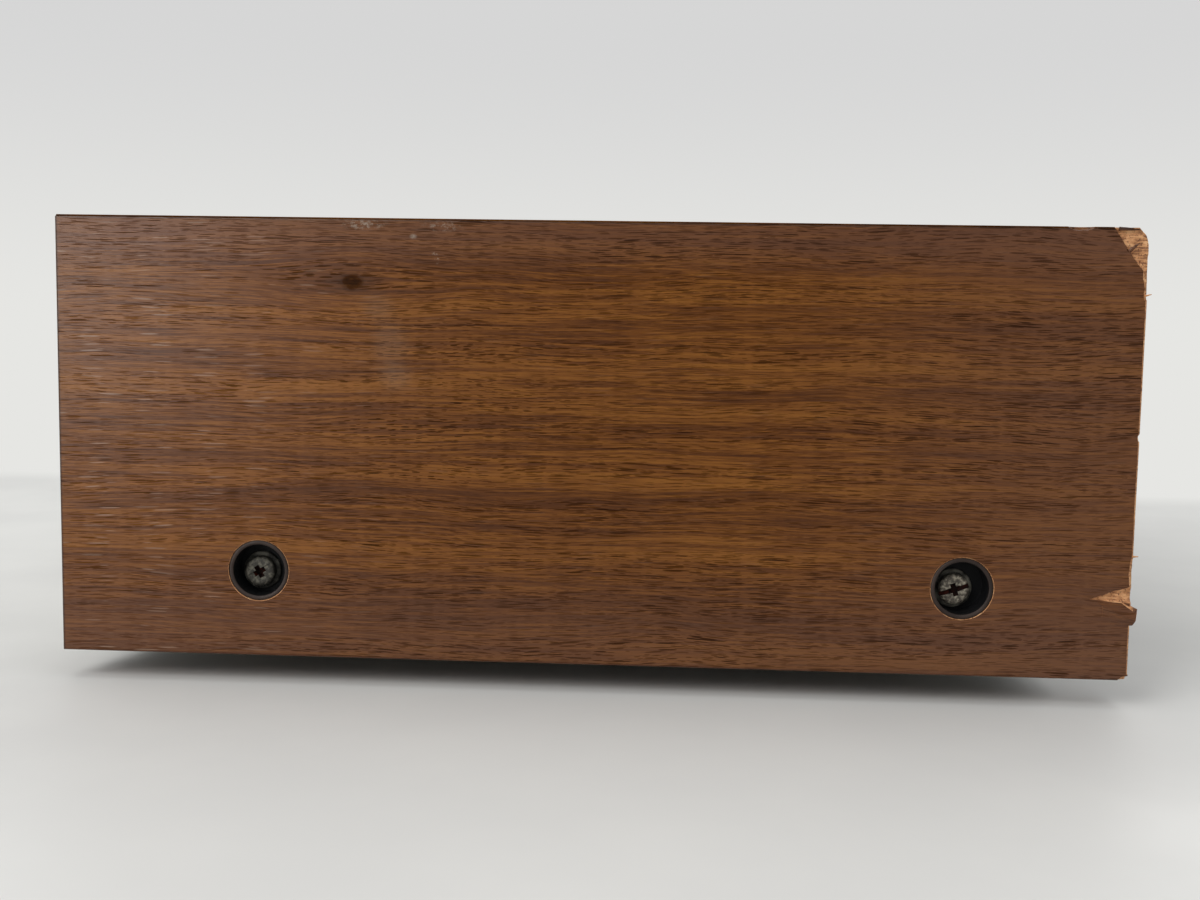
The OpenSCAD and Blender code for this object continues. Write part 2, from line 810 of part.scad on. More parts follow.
module feet() {
    color("#1c1c1c") at_feet() difference() {
        cylinder(d1 = foot_d, d2 = foot_top_d, h = tray_z);
        translate([0, 0, -cut]) cylinder(d = foot_head_d + 2, h = foot_head_recess + foot_head_h + cut);
        hole(foot_screw_d + 2 * hole_fit, 0, tray_z);
    }
}

// Screws that hold the feet, the panels, the rear strips and the transformer
module chassis_screws() {
    foot_seat = foot_head_recess + foot_head_h;
    color("#8d8d8a") {
        at_feet() {
            translate([0, 0, foot_seat]) rotate([180, 0, 0])
                round_screw(foot_screw_d, deck_z + foot_nut_h - foot_seat, foot_head_d, foot_head_h);
            translate([0, 0, deck_z])
                difference() {
                    cylinder(d = foot_screw_d * 2, h = foot_nut_h, $fn = 6);
                    hole(foot_screw_d + 2 * hole_fit, 0, foot_nut_h);
                }
        }
        at_front_flange_screws() translate([0, 0, -sub_t]) rotate([180, 0, 0])
            chassis_screw(sub_t + sheet_t + chassis_screw_end);
        at_rear_flange_screws() translate([0, 0, sheet_t]) chassis_screw(2 * sheet_t + chassis_screw_end);
        at_face_screws() chassis_screw(sub_t + face_screw_bite - hole_fit);
        at_strip_screws(false) chassis_screw(jack_board_t + sheet_t + chassis_screw_end);
        at_transformer_feet() translate([0, 0, deck_z + bell_t]) chassis_screw(bell_t + sheet_t);
    }
}

// Power supply

// A laminated core with two windows round its middle leg
module transformer_core() {
    window_h = core_h - 2 * core_leg;
    color("#4b4a48") translate([core_x, core_y, deck_z + bell_t]) difference() {
        translate([-core_w / 2, -core_stack / 2, 0]) cube([core_w, core_stack, core_h]);
        for (side = [-1, 1])
            translate([side * core_leg * 1.5 - core_leg / 2, -core_stack / 2 - cut, core_leg])
                cube([core_leg, core_stack + 2 * cut, window_h]);
        at_core_bolts() hole(bolt_d + 2 * hole_fit, -core_stack, core_stack);
    }
}

// Places its children at the four corners of the core, along Y
module at_core_bolts() {
    for (side_x = [-1, 1])
        for (z = [core_leg / 2, core_h - core_leg / 2])
            translate([side_x * (core_w / 2 - core_leg / 2), 0, z]) rotate([90, 0, 0]) children();
}

// The taped winding on the middle leg
module transformer_coil() {
    inner = [core_leg * 2 + 2 * pass_gap, core_stack + 2 * pass_gap];
    coil_r = 6;
    outer = [inner[0] + 2 * (coil_t - pass_gap), inner[1] + 2 * coil_t];
    color("#c8a24a") translate([core_x, core_y, deck_z + bell_t + core_h / 2 - coil_h / 2])
        linear_extrude(coil_h) difference() {
            union() {
                square([outer[0] - 2 * coil_r, outer[1]], center = true);
                square([outer[0], outer[1] - 2 * coil_r], center = true);
                for (x = [-1, 1]) for (y = [-1, 1])
                    translate([x * (outer[0] / 2 - coil_r), y * (outer[1] / 2 - coil_r)]) circle(r = coil_r);
            }
            square(inner, center = true);
        }
}

// Pressed end covers with a flange round the dome and a foot at the bottom
module transformer_covers() {
    dome_w = core_leg * 4 + 4;
    dome_h = coil_h + 6;
    base_z = deck_z + bell_t;
    dome_low = base_z + (core_h - dome_h) / 2;
    dome_high = base_z + (core_h + dome_h) / 2;
    near_y = core_stack / 2;
    far_y = near_y + bell_depth;
    color("#2f3032") for (side = [0, 1])
        difference() {
            translate([core_x, core_y, 0]) mirror([0, side, 0]) difference() {
                union() {
                    block([-core_w / 2, near_y, deck_z], [core_w / 2, near_y + bell_t, base_z + core_h]);
                    block([-dome_w / 2, near_y, dome_low], [dome_w / 2, far_y, dome_high]);
                    block([-core_w / 2, near_y, deck_z], [core_w / 2, far_y + bell_foot, base_z]);
                }
                block([bell_t - dome_w / 2, near_y - cut, dome_low + bell_t],
                      [dome_w / 2 - bell_t, far_y - bell_t, dome_high - bell_t]);
                translate([0, 0, base_z]) at_core_bolts()
                    hole(bolt_d + 2 * hole_fit, -core_stack, core_stack);
            }
            at_transformer_feet() hole(chassis_screw_d + 2 * hole_fit, deck_z, base_z);
        }
}

module transformer_bolts() {
    reach = core_stack / 2 + bell_t;
    nut_h = 3;
    color("#8d8d8a") translate([core_x, core_y, deck_z + bell_t]) at_core_bolts() {
        translate([0, 0, reach]) round_screw(bolt_d, 2 * reach + nut_h, 2 * bolt_d, nut_h);
        translate([0, 0, -reach - nut_h]) difference() {
            cylinder(d = bolt_d * 2, h = nut_h, $fn = 6);
            hole(bolt_d + 2 * hole_fit, 0, nut_h);
        }
    }
}

module filter_capacitors() {
    crimp = 1.5;
    rim = 3;
    r = cap_d / 2;
    color("#23364f") for (y = cap_y) translate([cap_x, y, deck_z])
        rotate_extrude() polygon([
            [0, 0], [r - crimp, 0], [r, crimp], [r, cap_h - crimp], [r - crimp, cap_h],
            [r - rim, cap_h], [r - rim - cap_disc, cap_h - cap_disc], [0, cap_h - cap_disc]
        ]);
}

// Split ring clamps with two ears on the chassis floor
module capacitor_clamps() {
    color("lightgray") for (y = cap_y) translate([cap_x, y, deck_z]) difference() {
        union() {
            cylinder(d = cap_d + 2 * clamp_t + 2 * hole_fit, h = clamp_h);
            for (side = [-1, 1])
                translate([side * (cap_d + clamp_ear) / 2, 0, clamp_t / 2])
                    cube([clamp_ear + 2 * clamp_t, clamp_ear, clamp_t], center = true);
        }
        hole(cap_d + 2 * hole_fit, 0, clamp_h);
        translate([-clamp_split / 2, -cap_d, clamp_t]) cube([clamp_split, cap_d, clamp_h]);
    }
}

// Output stage

module heat_sink() {
    pitch = (sink_l - fin_t) / (fin_count - 1);
    color("#26282a") translate([sink_x - sink_l / 2, sink_y, deck_z])
        linear_extrude(sink_h) {
            square([sink_l, sink_base_t]);
            for (i = [0 : fin_count - 1])
                translate([i * pitch, sink_base_t - cut]) square([fin_t, fin_l + cut]);
        }
}

// Metal-can transistors on the flat side of the heat sink
module power_transistors() {
    color("#b9b6ae") for (i = [0 : 3])
        translate([sink_x + (i - 1.5) * transistor_pitch, sink_y, deck_z + transistor_z])
            rotate([90, 0, 0]) {
                translate([0, 0, transistor_base[2] / 2]) cube(transistor_base, center = true);
                cylinder(d = transistor_can_d, h = transistor_base[2] + transistor_can_h);
            }
}

// Circuit boards

module board(place) {
    translate([place[0], place[1], pcb_z]) cube([place[2], place[3], pcb_t]);
}

module power_board() {
    color("#8a6a2f") board(power_pcb);
}

module driver_board() {
    color("#8a6a2f") board(driver_pcb);
}

module preamp_board() {
    color("#8a6a2f") board(preamp_pcb);
}

// Places its children in two rows on a board, inside a margin, as many as a least spacing lets in
module on_board(place, pitch, margin) {
    run = [place[2] - 2 * margin, place[3] - 2 * margin];
    steps = max(1, floor(run[0] / pitch));
    for (i = [0 : steps])
        for (row = [0, 1])
            translate([place[0] + margin + i * run[0] / steps, place[1] + margin + row * run[1], board_top])
                children();
}

module standing_parts(place, part) {
    on_board(place, part[2], part[3]) cylinder(d = part[0], h = part[1]);
}

module resistors(place, pitch) {
    on_board(place, pitch, resistor_margin)
        translate([0, 0, resistor_body[2] / 2]) cube(resistor_body, center = true);
}

// Capacitors, transistors and resistors on the boards
module board_components() {
    color("#333a45") {
        standing_parts(power_pcb, power_part);
        standing_parts(driver_pcb, driver_part);
        standing_parts(preamp_pcb, preamp_part);
        resistors(driver_pcb, driver_resistor_pitch);
        resistors(preamp_pcb, preamp_resistor_pitch);
    }
}

module board_standoffs() {
    color("#c9c4b4") for (place = [power_pcb, driver_pcb, preamp_pcb])
        for (x = [standoff_inset, place[2] - standoff_inset])
            for (y = [standoff_inset, place[3] - standoff_inset])
                translate([place[0] + x, place[1] + y, deck_z]) cylinder(d = standoff_d, h = pcb_lift);
}

// Rotary controls

// Each control: its place along X, its height, and the angle of its pointer from the top
VOLUME = [volume_x, volume_z, volume_angle];
BALANCE = [balance_x, upper_z, 0];
BASS = [bass_x, upper_z, 0];
TREBLE = [treble_x, upper_z, 0];
SELECTOR = [selector_x, upper_z, selector_angle];
SPEAKER = [speaker_x, upper_z, speaker_angle];
POTS = [VOLUME, BALANCE, BASS, TREBLE];
SWITCHES = [SELECTOR, SPEAKER];

module at_shafts() {
    for (control = concat(POTS, SWITCHES)) at_front(control[0], control[1]) children();
}

// The running bore of a control, through its bushing
module shaft_bore(depth) {
    translate([0, 0, -bushing_l - cut]) cylinder(d = shaft_d + 2 * run_fit, h = bushing_l + depth + cut);
}

module potentiometers() {
    lug = [2, 8, 0.8];
    lug_pitch = 5;
    lug_z = [6, 15];
    color("#9c9c97") for (control = POTS) at_front(control[0], control[1]) difference() {
        union() {
            cylinder(d = pot_d, h = pot_l);
            translate([0, 0, -bushing_l]) cylinder(d = bushing_d, h = bushing_l + cut);
            for (z = lug_z)
                for (i = [-1, 0, 1])
                    translate([i * lug_pitch - lug[0] / 2, pot_d / 2 - lug[0], z]) cube(lug);
        }
        shaft_bore(shaft_in);
    }
}

// Wafer switches: a detent housing, two wafers and the posts that hold them
module rotary_switches() {
    post_x = 13;
    post_d = 4;
    post_end = 2;
    detent_h = 8;
    color("#b08d57") for (control = SWITCHES) at_front(control[0], control[1]) difference() {
        union() {
            cylinder(d = wafer_d - 2, h = detent_h);
            translate([0, 0, -bushing_l]) cylinder(d = bushing_d, h = bushing_l + cut);
            for (side = [-1, 1])
                translate([side * post_x, 0, detent_h - cut])
                    cylinder(d = post_d, h = wafer_z[1] + wafer_t + post_end - detent_h + cut);
            for (z = wafer_z) translate([0, 0, z]) ring(wafer_d, rotor_d + 1, wafer_t);
        }
        shaft_bore(detent_h + cut);
    }
}

// Hexagon nuts on the bushings, with the headphone jack's round nut
module control_nuts() {
    color("#a8a7a2") {
        at_shafts() translate([0, 0, -sub_t - nut_t]) difference() {
            cylinder(d = nut_af / cos(30), h = nut_t, $fn = 6);
            hole(bushing_d + 2 * hole_fit, 0, nut_t);
        }
        at_front(phones_x, lower_z)
            translate([0, 0, -front_stack - phones_nut_t])
                ring(phones_nut_d, phones_bush_d + 2 * hole_fit, phones_nut_t);
    }
}

// A shaft with a flat at its front end, seen from the subpanel's rear face
module control_shaft(control, tail) {
    grip = bore_h - shaft_end_gap;
    front = front_stack + knob_gap + grip;
    color("#c3c3bf") at_front(control[0], control[1]) difference() {
        translate([0, 0, -front]) cylinder(d = shaft_d, h = front + tail);
        rotate([0, 0, control[2]])
            translate([-shaft_d, shaft_d / 4, -front - cut]) cube([2 * shaft_d, shaft_d, grip + cut]);
    }
}

// The shaft of a wafer switch also carries the rotors
module switch_shaft(control) {
    control_shaft(control, wafer_z[1] + wafer_t);
    color("#d9d3bd") at_front(control[0], control[1])
        for (z = wafer_z) translate([0, 0, z]) ring(rotor_d, shaft_d, wafer_t);
}

// A turned knob: its skirt, its dished face, its hub with a flatted bore, and a pointer line
module control_knob(control, diameter, height) {
    wall = 3;
    hub_d = shaft_d + 2 * wall;
    cup_h = 4;
    skirt_h = 2.5;
    waist = 0.8;
    chamfer = 1.2;
    rim = 2;
    dish = 0.8;
    line = [1.4, 9, 0.5];
    r = diameter / 2;
    top_r = r - waist - chamfer;
    color("#cfcfcb") at_front(control[0], control[1])
        translate([0, 0, -front_stack - knob_gap]) rotate([180, 0, 0]) rotate([0, 0, -control[2]])
            difference() {
                rotate_extrude() polygon([
                    [0, 0], [hub_d / 2, 0], [hub_d / 2, cup_h], [r - wall, cup_h], [r - wall, 0], [r, 0],
                    [r, skirt_h], [r - waist, skirt_h + waist], [r - waist, height - chamfer],
                    [top_r, height], [top_r - rim, height], [top_r - rim - dish, height - dish],
                    [0, height - dish]
                ]);
                translate([0, 0, -cut]) linear_extrude(bore_h + cut) difference() {
                    circle(d = shaft_d + 2 * hole_fit);
                    translate([-shaft_d, -shaft_d / 4 - shaft_d - hole_fit]) square([2 * shaft_d, shaft_d]);
                }
                translate([-line[0] / 2, r - line[1], height - dish - line[2]])
                    cube([line[0], line[1], dish + line[2] + cut]);
            }
}

module volume_knob() { control_knob(VOLUME, volume_knob_d, volume_knob_h); }
module balance_knob() { control_knob(BALANCE, knob_d, knob_h); }
module bass_knob() { control_knob(BASS, knob_d, knob_h); }
module treble_knob() { control_knob(TREBLE, knob_d, knob_h); }
module selector_knob() { control_knob(SELECTOR, knob_d, knob_h); }
module speaker_knob() { control_knob(SPEAKER, knob_d, knob_h); }
module volume_shaft() { control_shaft(VOLUME, shaft_in - shaft_end_gap); }
module balance_shaft() { control_shaft(BALANCE, shaft_in - shaft_end_gap); }
module bass_shaft() { control_shaft(BASS, shaft_in - shaft_end_gap); }
module treble_shaft() { control_shaft(TREBLE, shaft_in - shaft_end_gap); }
module selector_shaft() { switch_shaft(SELECTOR); }
module speaker_shaft() { switch_shaft(SPEAKER); }

// Lever switches

function lever_x(i) = lever_middle_x + (i - (len(LEVER_NAMES) - 1) / 2) * lever_pitch;

module at_levers() {
    for (i = [0 : len(LEVER_NAMES) - 1]) at_front(lever_x(i), lower_z) children();
}

// Switch bodies with the pin that each lever turns on
module lever_switches() {
    wall = 2.5;
    lug_pitch = 7;
    well = [lever_slot_w, lever_box[1] - 2 * wall, lever_box[2] - wall];
    color("#22211f") at_levers() {
        difference() {
            translate([-lever_box[0] / 2, -lever_box[1] / 2, 0]) cube(lever_box);
            translate([-well[0] / 2, -well[1] / 2, -cut]) cube([well[0], well[1], well[2] + cut]);
        }
        translate([0, 0, lever_pivot])
            rotate([0, 90, 0]) cylinder(d = lever_pin_d, h = well[0] + wall, center = true);
        for (i = [-1, 0, 1])
            translate([-lever_lug[0] / 2, i * lug_pitch - lever_lug[1] / 2, lever_box[2] - lever_lug[1]])
                cube(lever_lug);
    }
}

// A bat lever on its hub, resting up or down
module lever(i, up) {
    tip = lever_length - lever_tip / 2;
    tail = [lever_hub_d / 2 + 3, 2];
    color("#cfcfcb") translate([lever_x(i), sub_back + lever_pivot, lower_z])
        rotate([up ? -lever_swing / 2 : lever_swing / 2, 0, 0])
            translate([-lever_w / 2, 0, 0]) rotate([90, 0, 90]) linear_extrude(lever_w) difference() {
                union() {
                    circle(d = lever_hub_d);
                    polygon([
                        [0, lever_root / 2], [-tip, lever_tip / 2],
                        [-tip, -lever_tip / 2], [0, -lever_root / 2]
                    ]);
                    translate([-tip, 0]) circle(d = lever_tip);
                    translate([0, -tail[1] / 2]) square(tail);
                }
                circle(d = lever_pin_d + 2 * run_fit);
            }
}

module loudness_lever() { lever(0, false); }
module low_filter_lever() { lever(1, false); }
module high_filter_lever() { lever(2, false); }
module tape_lever() { lever(3, false); }
module mode_lever() { lever(4, true); }

// Power button, pilot lamp and headphone jack

module power_button() {
    dish = 0.6;
    rim = 2;
    chamfer = 0.8;
    r = button_d / 2;
    color("#cfcfcb") at_front(power_x, lower_z) {
        translate([0, 0, -front_stack - button_proud])
            rotate_extrude() polygon([
                [0, dish], [r - rim - dish, dish], [r - rim, 0], [r - chamfer, 0],
                [r, chamfer], [r, button_l], [0, button_l]
            ]);
        translate([0, 0, button_l - front_stack - button_proud - cut])
            cylinder(d = button_stem_d, h = button_stem_l + cut);
    }
}

// Push switch with a well for the button and a bore for its stem
module power_switch() {
    lug = [2, 0.8, 7];
    lug_x = 5;
    color("#22211f") at_front(power_x, lower_z) difference() {
        union() {
            translate([-power_box[0] / 2, -power_box[1] / 2, 0]) cube(power_box);
            for (side = [-1, 1])
                translate([side * lug_x - lug[0] / 2, -lug[1] / 2, power_box[2] - lug[1]]) cube(lug);
        }
        translate([0, 0, -cut]) cylinder(d = button_d + 2 * pass_gap, h = button_well + cut);
        hole(button_stem_d + 2 * run_fit, 0, button_stem_l + button_travel);
    }
}

module pilot_lens() {
    dome = 1.2;
    dome_r = (lens_d * lens_d / 4 + dome * dome) / (2 * dome);
    color("#c23b22") at_front(power_x, upper_z) translate([0, 0, -front_stack])
        intersection() {
            translate([0, 0, -dome]) cylinder(d = lens_d, h = dome + face_t);
            union() {
                translate([0, 0, dome_r - dome]) sphere(r = dome_r);
                cylinder(d = lens_d, h = face_t);
            }
        }
}

// A small bulb in its holder behind the subpanel
module pilot_lamp() {
    wall = 1.5;
    socket_l = 12;
    bulb_d = 4;
    color("#d8d2bf") at_front(power_x, upper_z) {
        difference() {
            cylinder(d = lens_d + 2 * wall, h = lamp_holder_l);
            translate([0, 0, -cut]) cylinder(d = lens_d, h = socket_l + cut);
        }
        translate([0, 0, bulb_d]) sphere(d = bulb_d);
        translate([0, 0, bulb_d]) cylinder(d = bulb_d, h = socket_l + cut - bulb_d);
    }
}

module headphone_jack() {
    color("#2a2a2a") at_front(phones_x, lower_z) difference() {
        union() {
            translate([0, 0, -phones_front]) cylinder(d = phones_bush_d, h = phones_front + cut);
            translate([-phones_box[0] / 2, -phones_box[1] / 2, 0]) cube(phones_box);
        }
        translate([0, 0, -phones_front - cut]) cylinder(d = phones_bore, h = phones_depth + cut);
    }
}

// Rear sockets

module at_jacks() {
    for (i = [0 : jack_columns - 1])
        for (row = [-1, 1])
            at_rear(
                jack_middle_x + (i - (jack_columns - 1) / 2) * jack_pitch,
                jack_middle_z + row * jack_row_pitch / 2
            ) children();
}

module jack_board() {
    half_x = (jack_columns - 1) / 2 * jack_pitch + jack_board_margin;
    half_z = jack_row_pitch / 2 + jack_board_margin;
    color("#2c2620") difference() {
        block([jack_middle_x - half_x, back_out, jack_middle_z - half_z],
              [jack_middle_x + half_x, back_out + jack_board_t, jack_middle_z + half_z]);
        at_jacks() hole(jack_d + 2 * hole_fit, 0, jack_board_t);
        at_strip_screws(true) hole(chassis_screw_d + 2 * hole_fit, 0, jack_board_t);
    }
}

// Phono jacks: a flange on the board, the shell, a recessed insulator with its contact hole, and a solder lug
module input_jacks() {
    tail = 1;
    groove = 1;
    shell_t = 0.8;
    color("#c9c7bf") at_jacks() difference() {
        union() {
            translate([0, 0, -sheet_t - tail])
                cylinder(d = jack_d, h = sheet_t + tail + jack_board_t + jack_l);
            translate([0, 0, jack_board_t]) cylinder(d = jack_flange_d, h = jack_flange_t);
            translate([-jack_lug[0] / 2, -jack_lug[1] / 2, -sheet_t - jack_lug[2]]) cube(jack_lug);
        }
        translate([0, 0, jack_board_t + jack_l - groove])
            ring(jack_d - 2 * shell_t, jack_hole_d + groove, groove + cut);
        translate([0, 0, jack_board_t + jack_flange_t]) cylinder(d = jack_hole_d, h = jack_l);
    }
}

module at_terminals() {
    for (i = [0 : terminal_count - 1])
        at_rear(terminal_middle_x + (i - (terminal_count - 1) / 2) * terminal_pitch, terminal_middle_z)
            children();
}

// Barrier strip with a rib between each pair of terminals
module speaker_terminals() {
    rib_top = terminal_base_t + terminal_rib_h;
    color("#1f1d1b") at_rear(terminal_middle_x, terminal_middle_z) difference() {
        union() {
            translate([-terminal_l / 2, -terminal_h / 2, 0]) cube([terminal_l, terminal_h, terminal_base_t]);
            translate([-terminal_l / 2 - terminal_ear, -terminal_ear / 2, 0])
                cube([terminal_l + 2 * terminal_ear, terminal_ear, terminal_ear_t]);
            for (i = [0 : terminal_count])
                translate([(i - terminal_count / 2) * terminal_pitch, 0, rib_top / 2])
                    cube([terminal_rib_t, terminal_h, rib_top], center = true);
        }
        for (i = [0 : terminal_count - 1])
            translate([(i - (terminal_count - 1) / 2) * terminal_pitch, 0, -cut])
                cylinder(d = chassis_screw_d + 2 * hole_fit, h = terminal_base_t + 2 * cut);
        for (side = [-1, 1])
            translate([side * (terminal_l + terminal_ear) / 2, 0, -cut])
                cylinder(d = chassis_screw_d + 2 * hole_fit, h = terminal_ear_t + 2 * cut);
    }
}

// Screws of the speaker terminals with their square washers, and the ground screw
module terminal_screws() {
    seat = terminal_base_t + terminal_washer[2];
    shank_l = seat + sheet_t + chassis_screw_end;
    ground_washer_d = 11;
    color("#c9c7bf") {
        at_terminals() {
            translate([-terminal_washer[0] / 2, -terminal_washer[1] / 2, terminal_base_t]) difference() {
                cube(terminal_washer);
                translate([terminal_washer[0] / 2, terminal_washer[1] / 2, -cut])
                    cylinder(d = chassis_screw_d + 4 * hole_fit, h = terminal_washer[2] + 2 * cut);
            }
            translate([0, 0, seat])
                round_screw(chassis_screw_d, shank_l, terminal_head_d, terminal_head_h);
        }
        at_rear(ground_x, ground_z) {
            ring(ground_washer_d, foot_screw_d + 4 * hole_fit, terminal_washer[2]);
            translate([0, 0, terminal_washer[2]])
                round_screw(foot_screw_d, shank_l, foot_head_d, terminal_head_h);
        }
    }
}

module fuse_holder() {
    color("#1a1a1a") at_rear(fuse_x, fuse_z) difference() {
        union() {
            cylinder(d = fuse_cap_d + 2 * fuse_rim, h = fuse_flange_t);
            translate([0, 0, -fuse_barrel_l]) cylinder(d = fuse_barrel_d, h = fuse_barrel_l + cut);
        }
        hole(fuse_stem_d + 2 * run_fit, -fuse_stem_l, fuse_flange_t);
    }
}

// Bayonet cap with a coin slot and a stem in the holder
module fuse_cap() {
    coin_slot = [1.6, 1.8];
    chamfer = 1;
    color("#1a1a1a") at_rear(fuse_x, fuse_z) translate([0, 0, fuse_flange_t + fuse_cap_gap]) {
        difference() {
            rotate_extrude() polygon([
                [0, 0], [fuse_cap_d / 2, 0], [fuse_cap_d / 2, fuse_cap_h - chamfer],
                [fuse_cap_d / 2 - chamfer, fuse_cap_h], [0, fuse_cap_h]
            ]);
            translate([-fuse_cap_d, -coin_slot[0] / 2, fuse_cap_h - coin_slot[1]])
                cube([2 * fuse_cap_d, coin_slot[0], coin_slot[1] + cut]);
        }
        translate([0, 0, -fuse_stem_l]) cylinder(d = fuse_stem_d, h = fuse_stem_l + cut);
    }
}

// Wiring

// Turns its children so that their X and Y axes lie along two directions at right angles
module turned(x_axis, y_axis) {
    z_axis = cross(x_axis, y_axis);
    multmatrix([
        [x_axis[0], y_axis[0], z_axis[0], 0], [x_axis[1], y_axis[1], z_axis[1], 0],
        [x_axis[2], y_axis[2], z_axis[2], 0], [0, 0, 0, 1]
    ]) children();
}

function toward(from, to) = (to - from) / norm(to - from);

// A round wire through points that are joined by runs along X, Y or Z, with a bend at each corner
module wire(points, diameter, bend) {
    last = len(points) - 1;
    for (i = [0 : last - 1]) {
        along = toward(points[i], points[i + 1]);
        across = [along[1], along[2], along[0]];
        start = i == 0 ? 0 : bend;
        end = norm(points[i + 1] - points[i]) - (i == last - 1 ? 0 : bend);
        translate(points[i] + start * along)
            turned(across, cross(along, across)) cylinder(d = diameter, h = end - start);
        if (i > 0) {
            before = toward(points[i - 1], points[i]);
            translate(points[i] + bend * (along - before))
                turned(-along, before)
                    rotate_extrude(angle = 90) translate([bend, 0]) circle(d = diameter);
        }
    }
}

module loom(points) { wire(points, loom_d, loom_bend); }
module lead(points) { wire(points, wire_d, wire_bend); }

// Mains from the fuse to the power switch, the transformer's leads, and the supply of the boards
module supply_looms() {
    bus_x = cap_x + cap_d / 4;
    loom([
        [fuse_x, fuse_tail_y, fuse_z], [fuse_x, mains_y, fuse_z], [-lane_x, mains_y, fuse_z],
        [-lane_x, switch_y, fuse_z], [power_x, switch_y, fuse_z],
        [power_x, switch_y, lower_z + power_box[1] / 2]
    ]);
    loom([
        [core_x, cover_front_y, coil_middle_z], [core_x, power_middle_y, coil_middle_z],
        [core_x, power_middle_y, board_top]
    ]);
    loom([
        [supply_x, power_middle_y, board_top], [supply_x, power_middle_y, supply_z],
        [cap_x, power_middle_y, supply_z], [cap_x, cap_y[0], supply_z], [cap_x, cap_y[0], cap_top]
    ]);
    loom([
        [bus_x, cap_y[0], cap_top], [bus_x, cap_y[0], supply_z],
        [bus_x, cap_y[1], supply_z], [bus_x, cap_y[1], cap_top]
    ]);
    loom([
        [cap_x, cap_y[1], cap_top], [cap_x, cap_y[1], supply_z], [cap_x, feed_y, supply_z],
        [driver_middle[0], feed_y, supply_z], [driver_middle[0], driver_middle[1], supply_z],
        [driver_middle[0], driver_middle[1], board_top]
    ]);
}

// From the driver board to the tail of each speaker terminal's screw
module speaker_loom() {
    terminal_x = [for (i = [0 : terminal_count - 1])
        terminal_middle_x + (i - (terminal_count - 1) / 2) * terminal_pitch];
    loom([
        [speaker_lead_x, driver_middle[1], board_top], [speaker_lead_x, driver_middle[1], speaker_z],
        [speaker_lead_x, terminal_lane_y, speaker_z], [terminal_x[0], terminal_lane_y, speaker_z]
    ]);
    for (x = terminal_x)
        lead([
            [x, terminal_lane_y, speaker_z], [x, terminal_lane_y, terminal_middle_z],
            [x, back_in - chassis_screw_end, terminal_middle_z]
        ]);
}

// From the lug of each phono jack to the preamplifier board
module signal_loom() {
    upper_jack_z = jack_middle_z + jack_row_pitch / 2;
    lower_jack_z = jack_middle_z - jack_row_pitch / 2;
    jack_x = [for (i = [0 : jack_columns - 1]) jack_middle_x + (i - (jack_columns - 1) / 2) * jack_pitch];
    loom([
        [jack_x[0] - loom_d / 2, jack_lane_y, signal_z], [lane_x, jack_lane_y, signal_z],
        [lane_x, preamp_middle_y, signal_z], [signal_x, preamp_middle_y, signal_z],
        [signal_x, preamp_middle_y, board_top]
    ]);
    for (x = jack_x) {
        lead([[x, jack_tail_y, upper_jack_z], [x, jack_lane_y, upper_jack_z], [x, jack_lane_y, signal_z]]);
        lead([
            [x, jack_tail_y, lower_jack_z], [x, jack_lane_y, lower_jack_z],
            [x + jack_wire_step, jack_lane_y, lower_jack_z], [x + jack_wire_step, jack_lane_y, signal_z]
        ]);
    }
}

// From the rear of each control on the front panel to the preamplifier board
module control_looms() {
    lever_drop_x = lever_x(len(LEVER_NAMES) - 1) + 2 * loom_bend;
    lug_y = sub_back + lever_box[2] - lever_lug[1] + lever_lug[2];
    lamp_y = sub_back + lamp_holder_l;
    loom([[power_x - loom_d / 2, control_y, control_z], [volume_x + loom_d / 2, control_y, control_z]]);
    loom([
        [control_drop_x, control_y, control_z], [control_drop_x, control_drop_y, control_z],
        [control_drop_x, control_drop_y, board_top]
    ]);
    for (control = [BALANCE, BASS, TREBLE])
        lead([[control[0], sub_back + pot_l, control_z], [control[0], control_y, control_z]]);
    for (control = SWITCHES)
        lead([[control[0], sub_back + wafer_z[1] + wafer_t, control_z], [control[0], control_y, control_z]]);
    lead([
        [volume_x, sub_back + pot_l, volume_z - control_drop], [volume_x, control_y, volume_z - control_drop],
        [volume_x, control_y, control_z]
    ]);
    lead([[power_x, lamp_y, upper_z], [power_x, control_y, upper_z], [power_x, control_y, control_z]]);
    loom([
        [phones_x - loom_d / 2, control_y, lower_z], [lever_drop_x, control_y, lower_z],
        [lever_drop_x, control_drop_y, lower_z], [lever_drop_x, control_drop_y, board_top]
    ]);
    lead([[phones_x, sub_back + phones_box[2], lower_z], [phones_x, control_y, lower_z]]);
    for (i = [0 : len(LEVER_NAMES) - 1])
        lead([[lever_x(i), lug_y, lower_z], [lever_x(i), control_y, lower_z]]);
}

module wiring() {
    color("#6b3a2a") {
        supply_looms();
        speaker_loom();
        signal_loom();
        control_looms();
    }
}

// Moulded bush in the rear panel for the mains cord
module cord_gland() {
    color("#141414") at_rear(gland_x, gland_z) difference() {
        union() {
            cylinder(d1 = gland_flange_d, d2 = gland_rim_d, h = gland_flange_t);
            translate([0, 0, -sheet_t - cut]) cylinder(d = gland_neck_d, h = sheet_t + 2 * cut);
            translate([0, 0, -sheet_t - gland_inner_t]) cylinder(d = gland_rim_d, h = gland_inner_t);
        }
        hole(gland_bore, -sheet_t - gland_inner_t, gland_flange_t);
    }
}

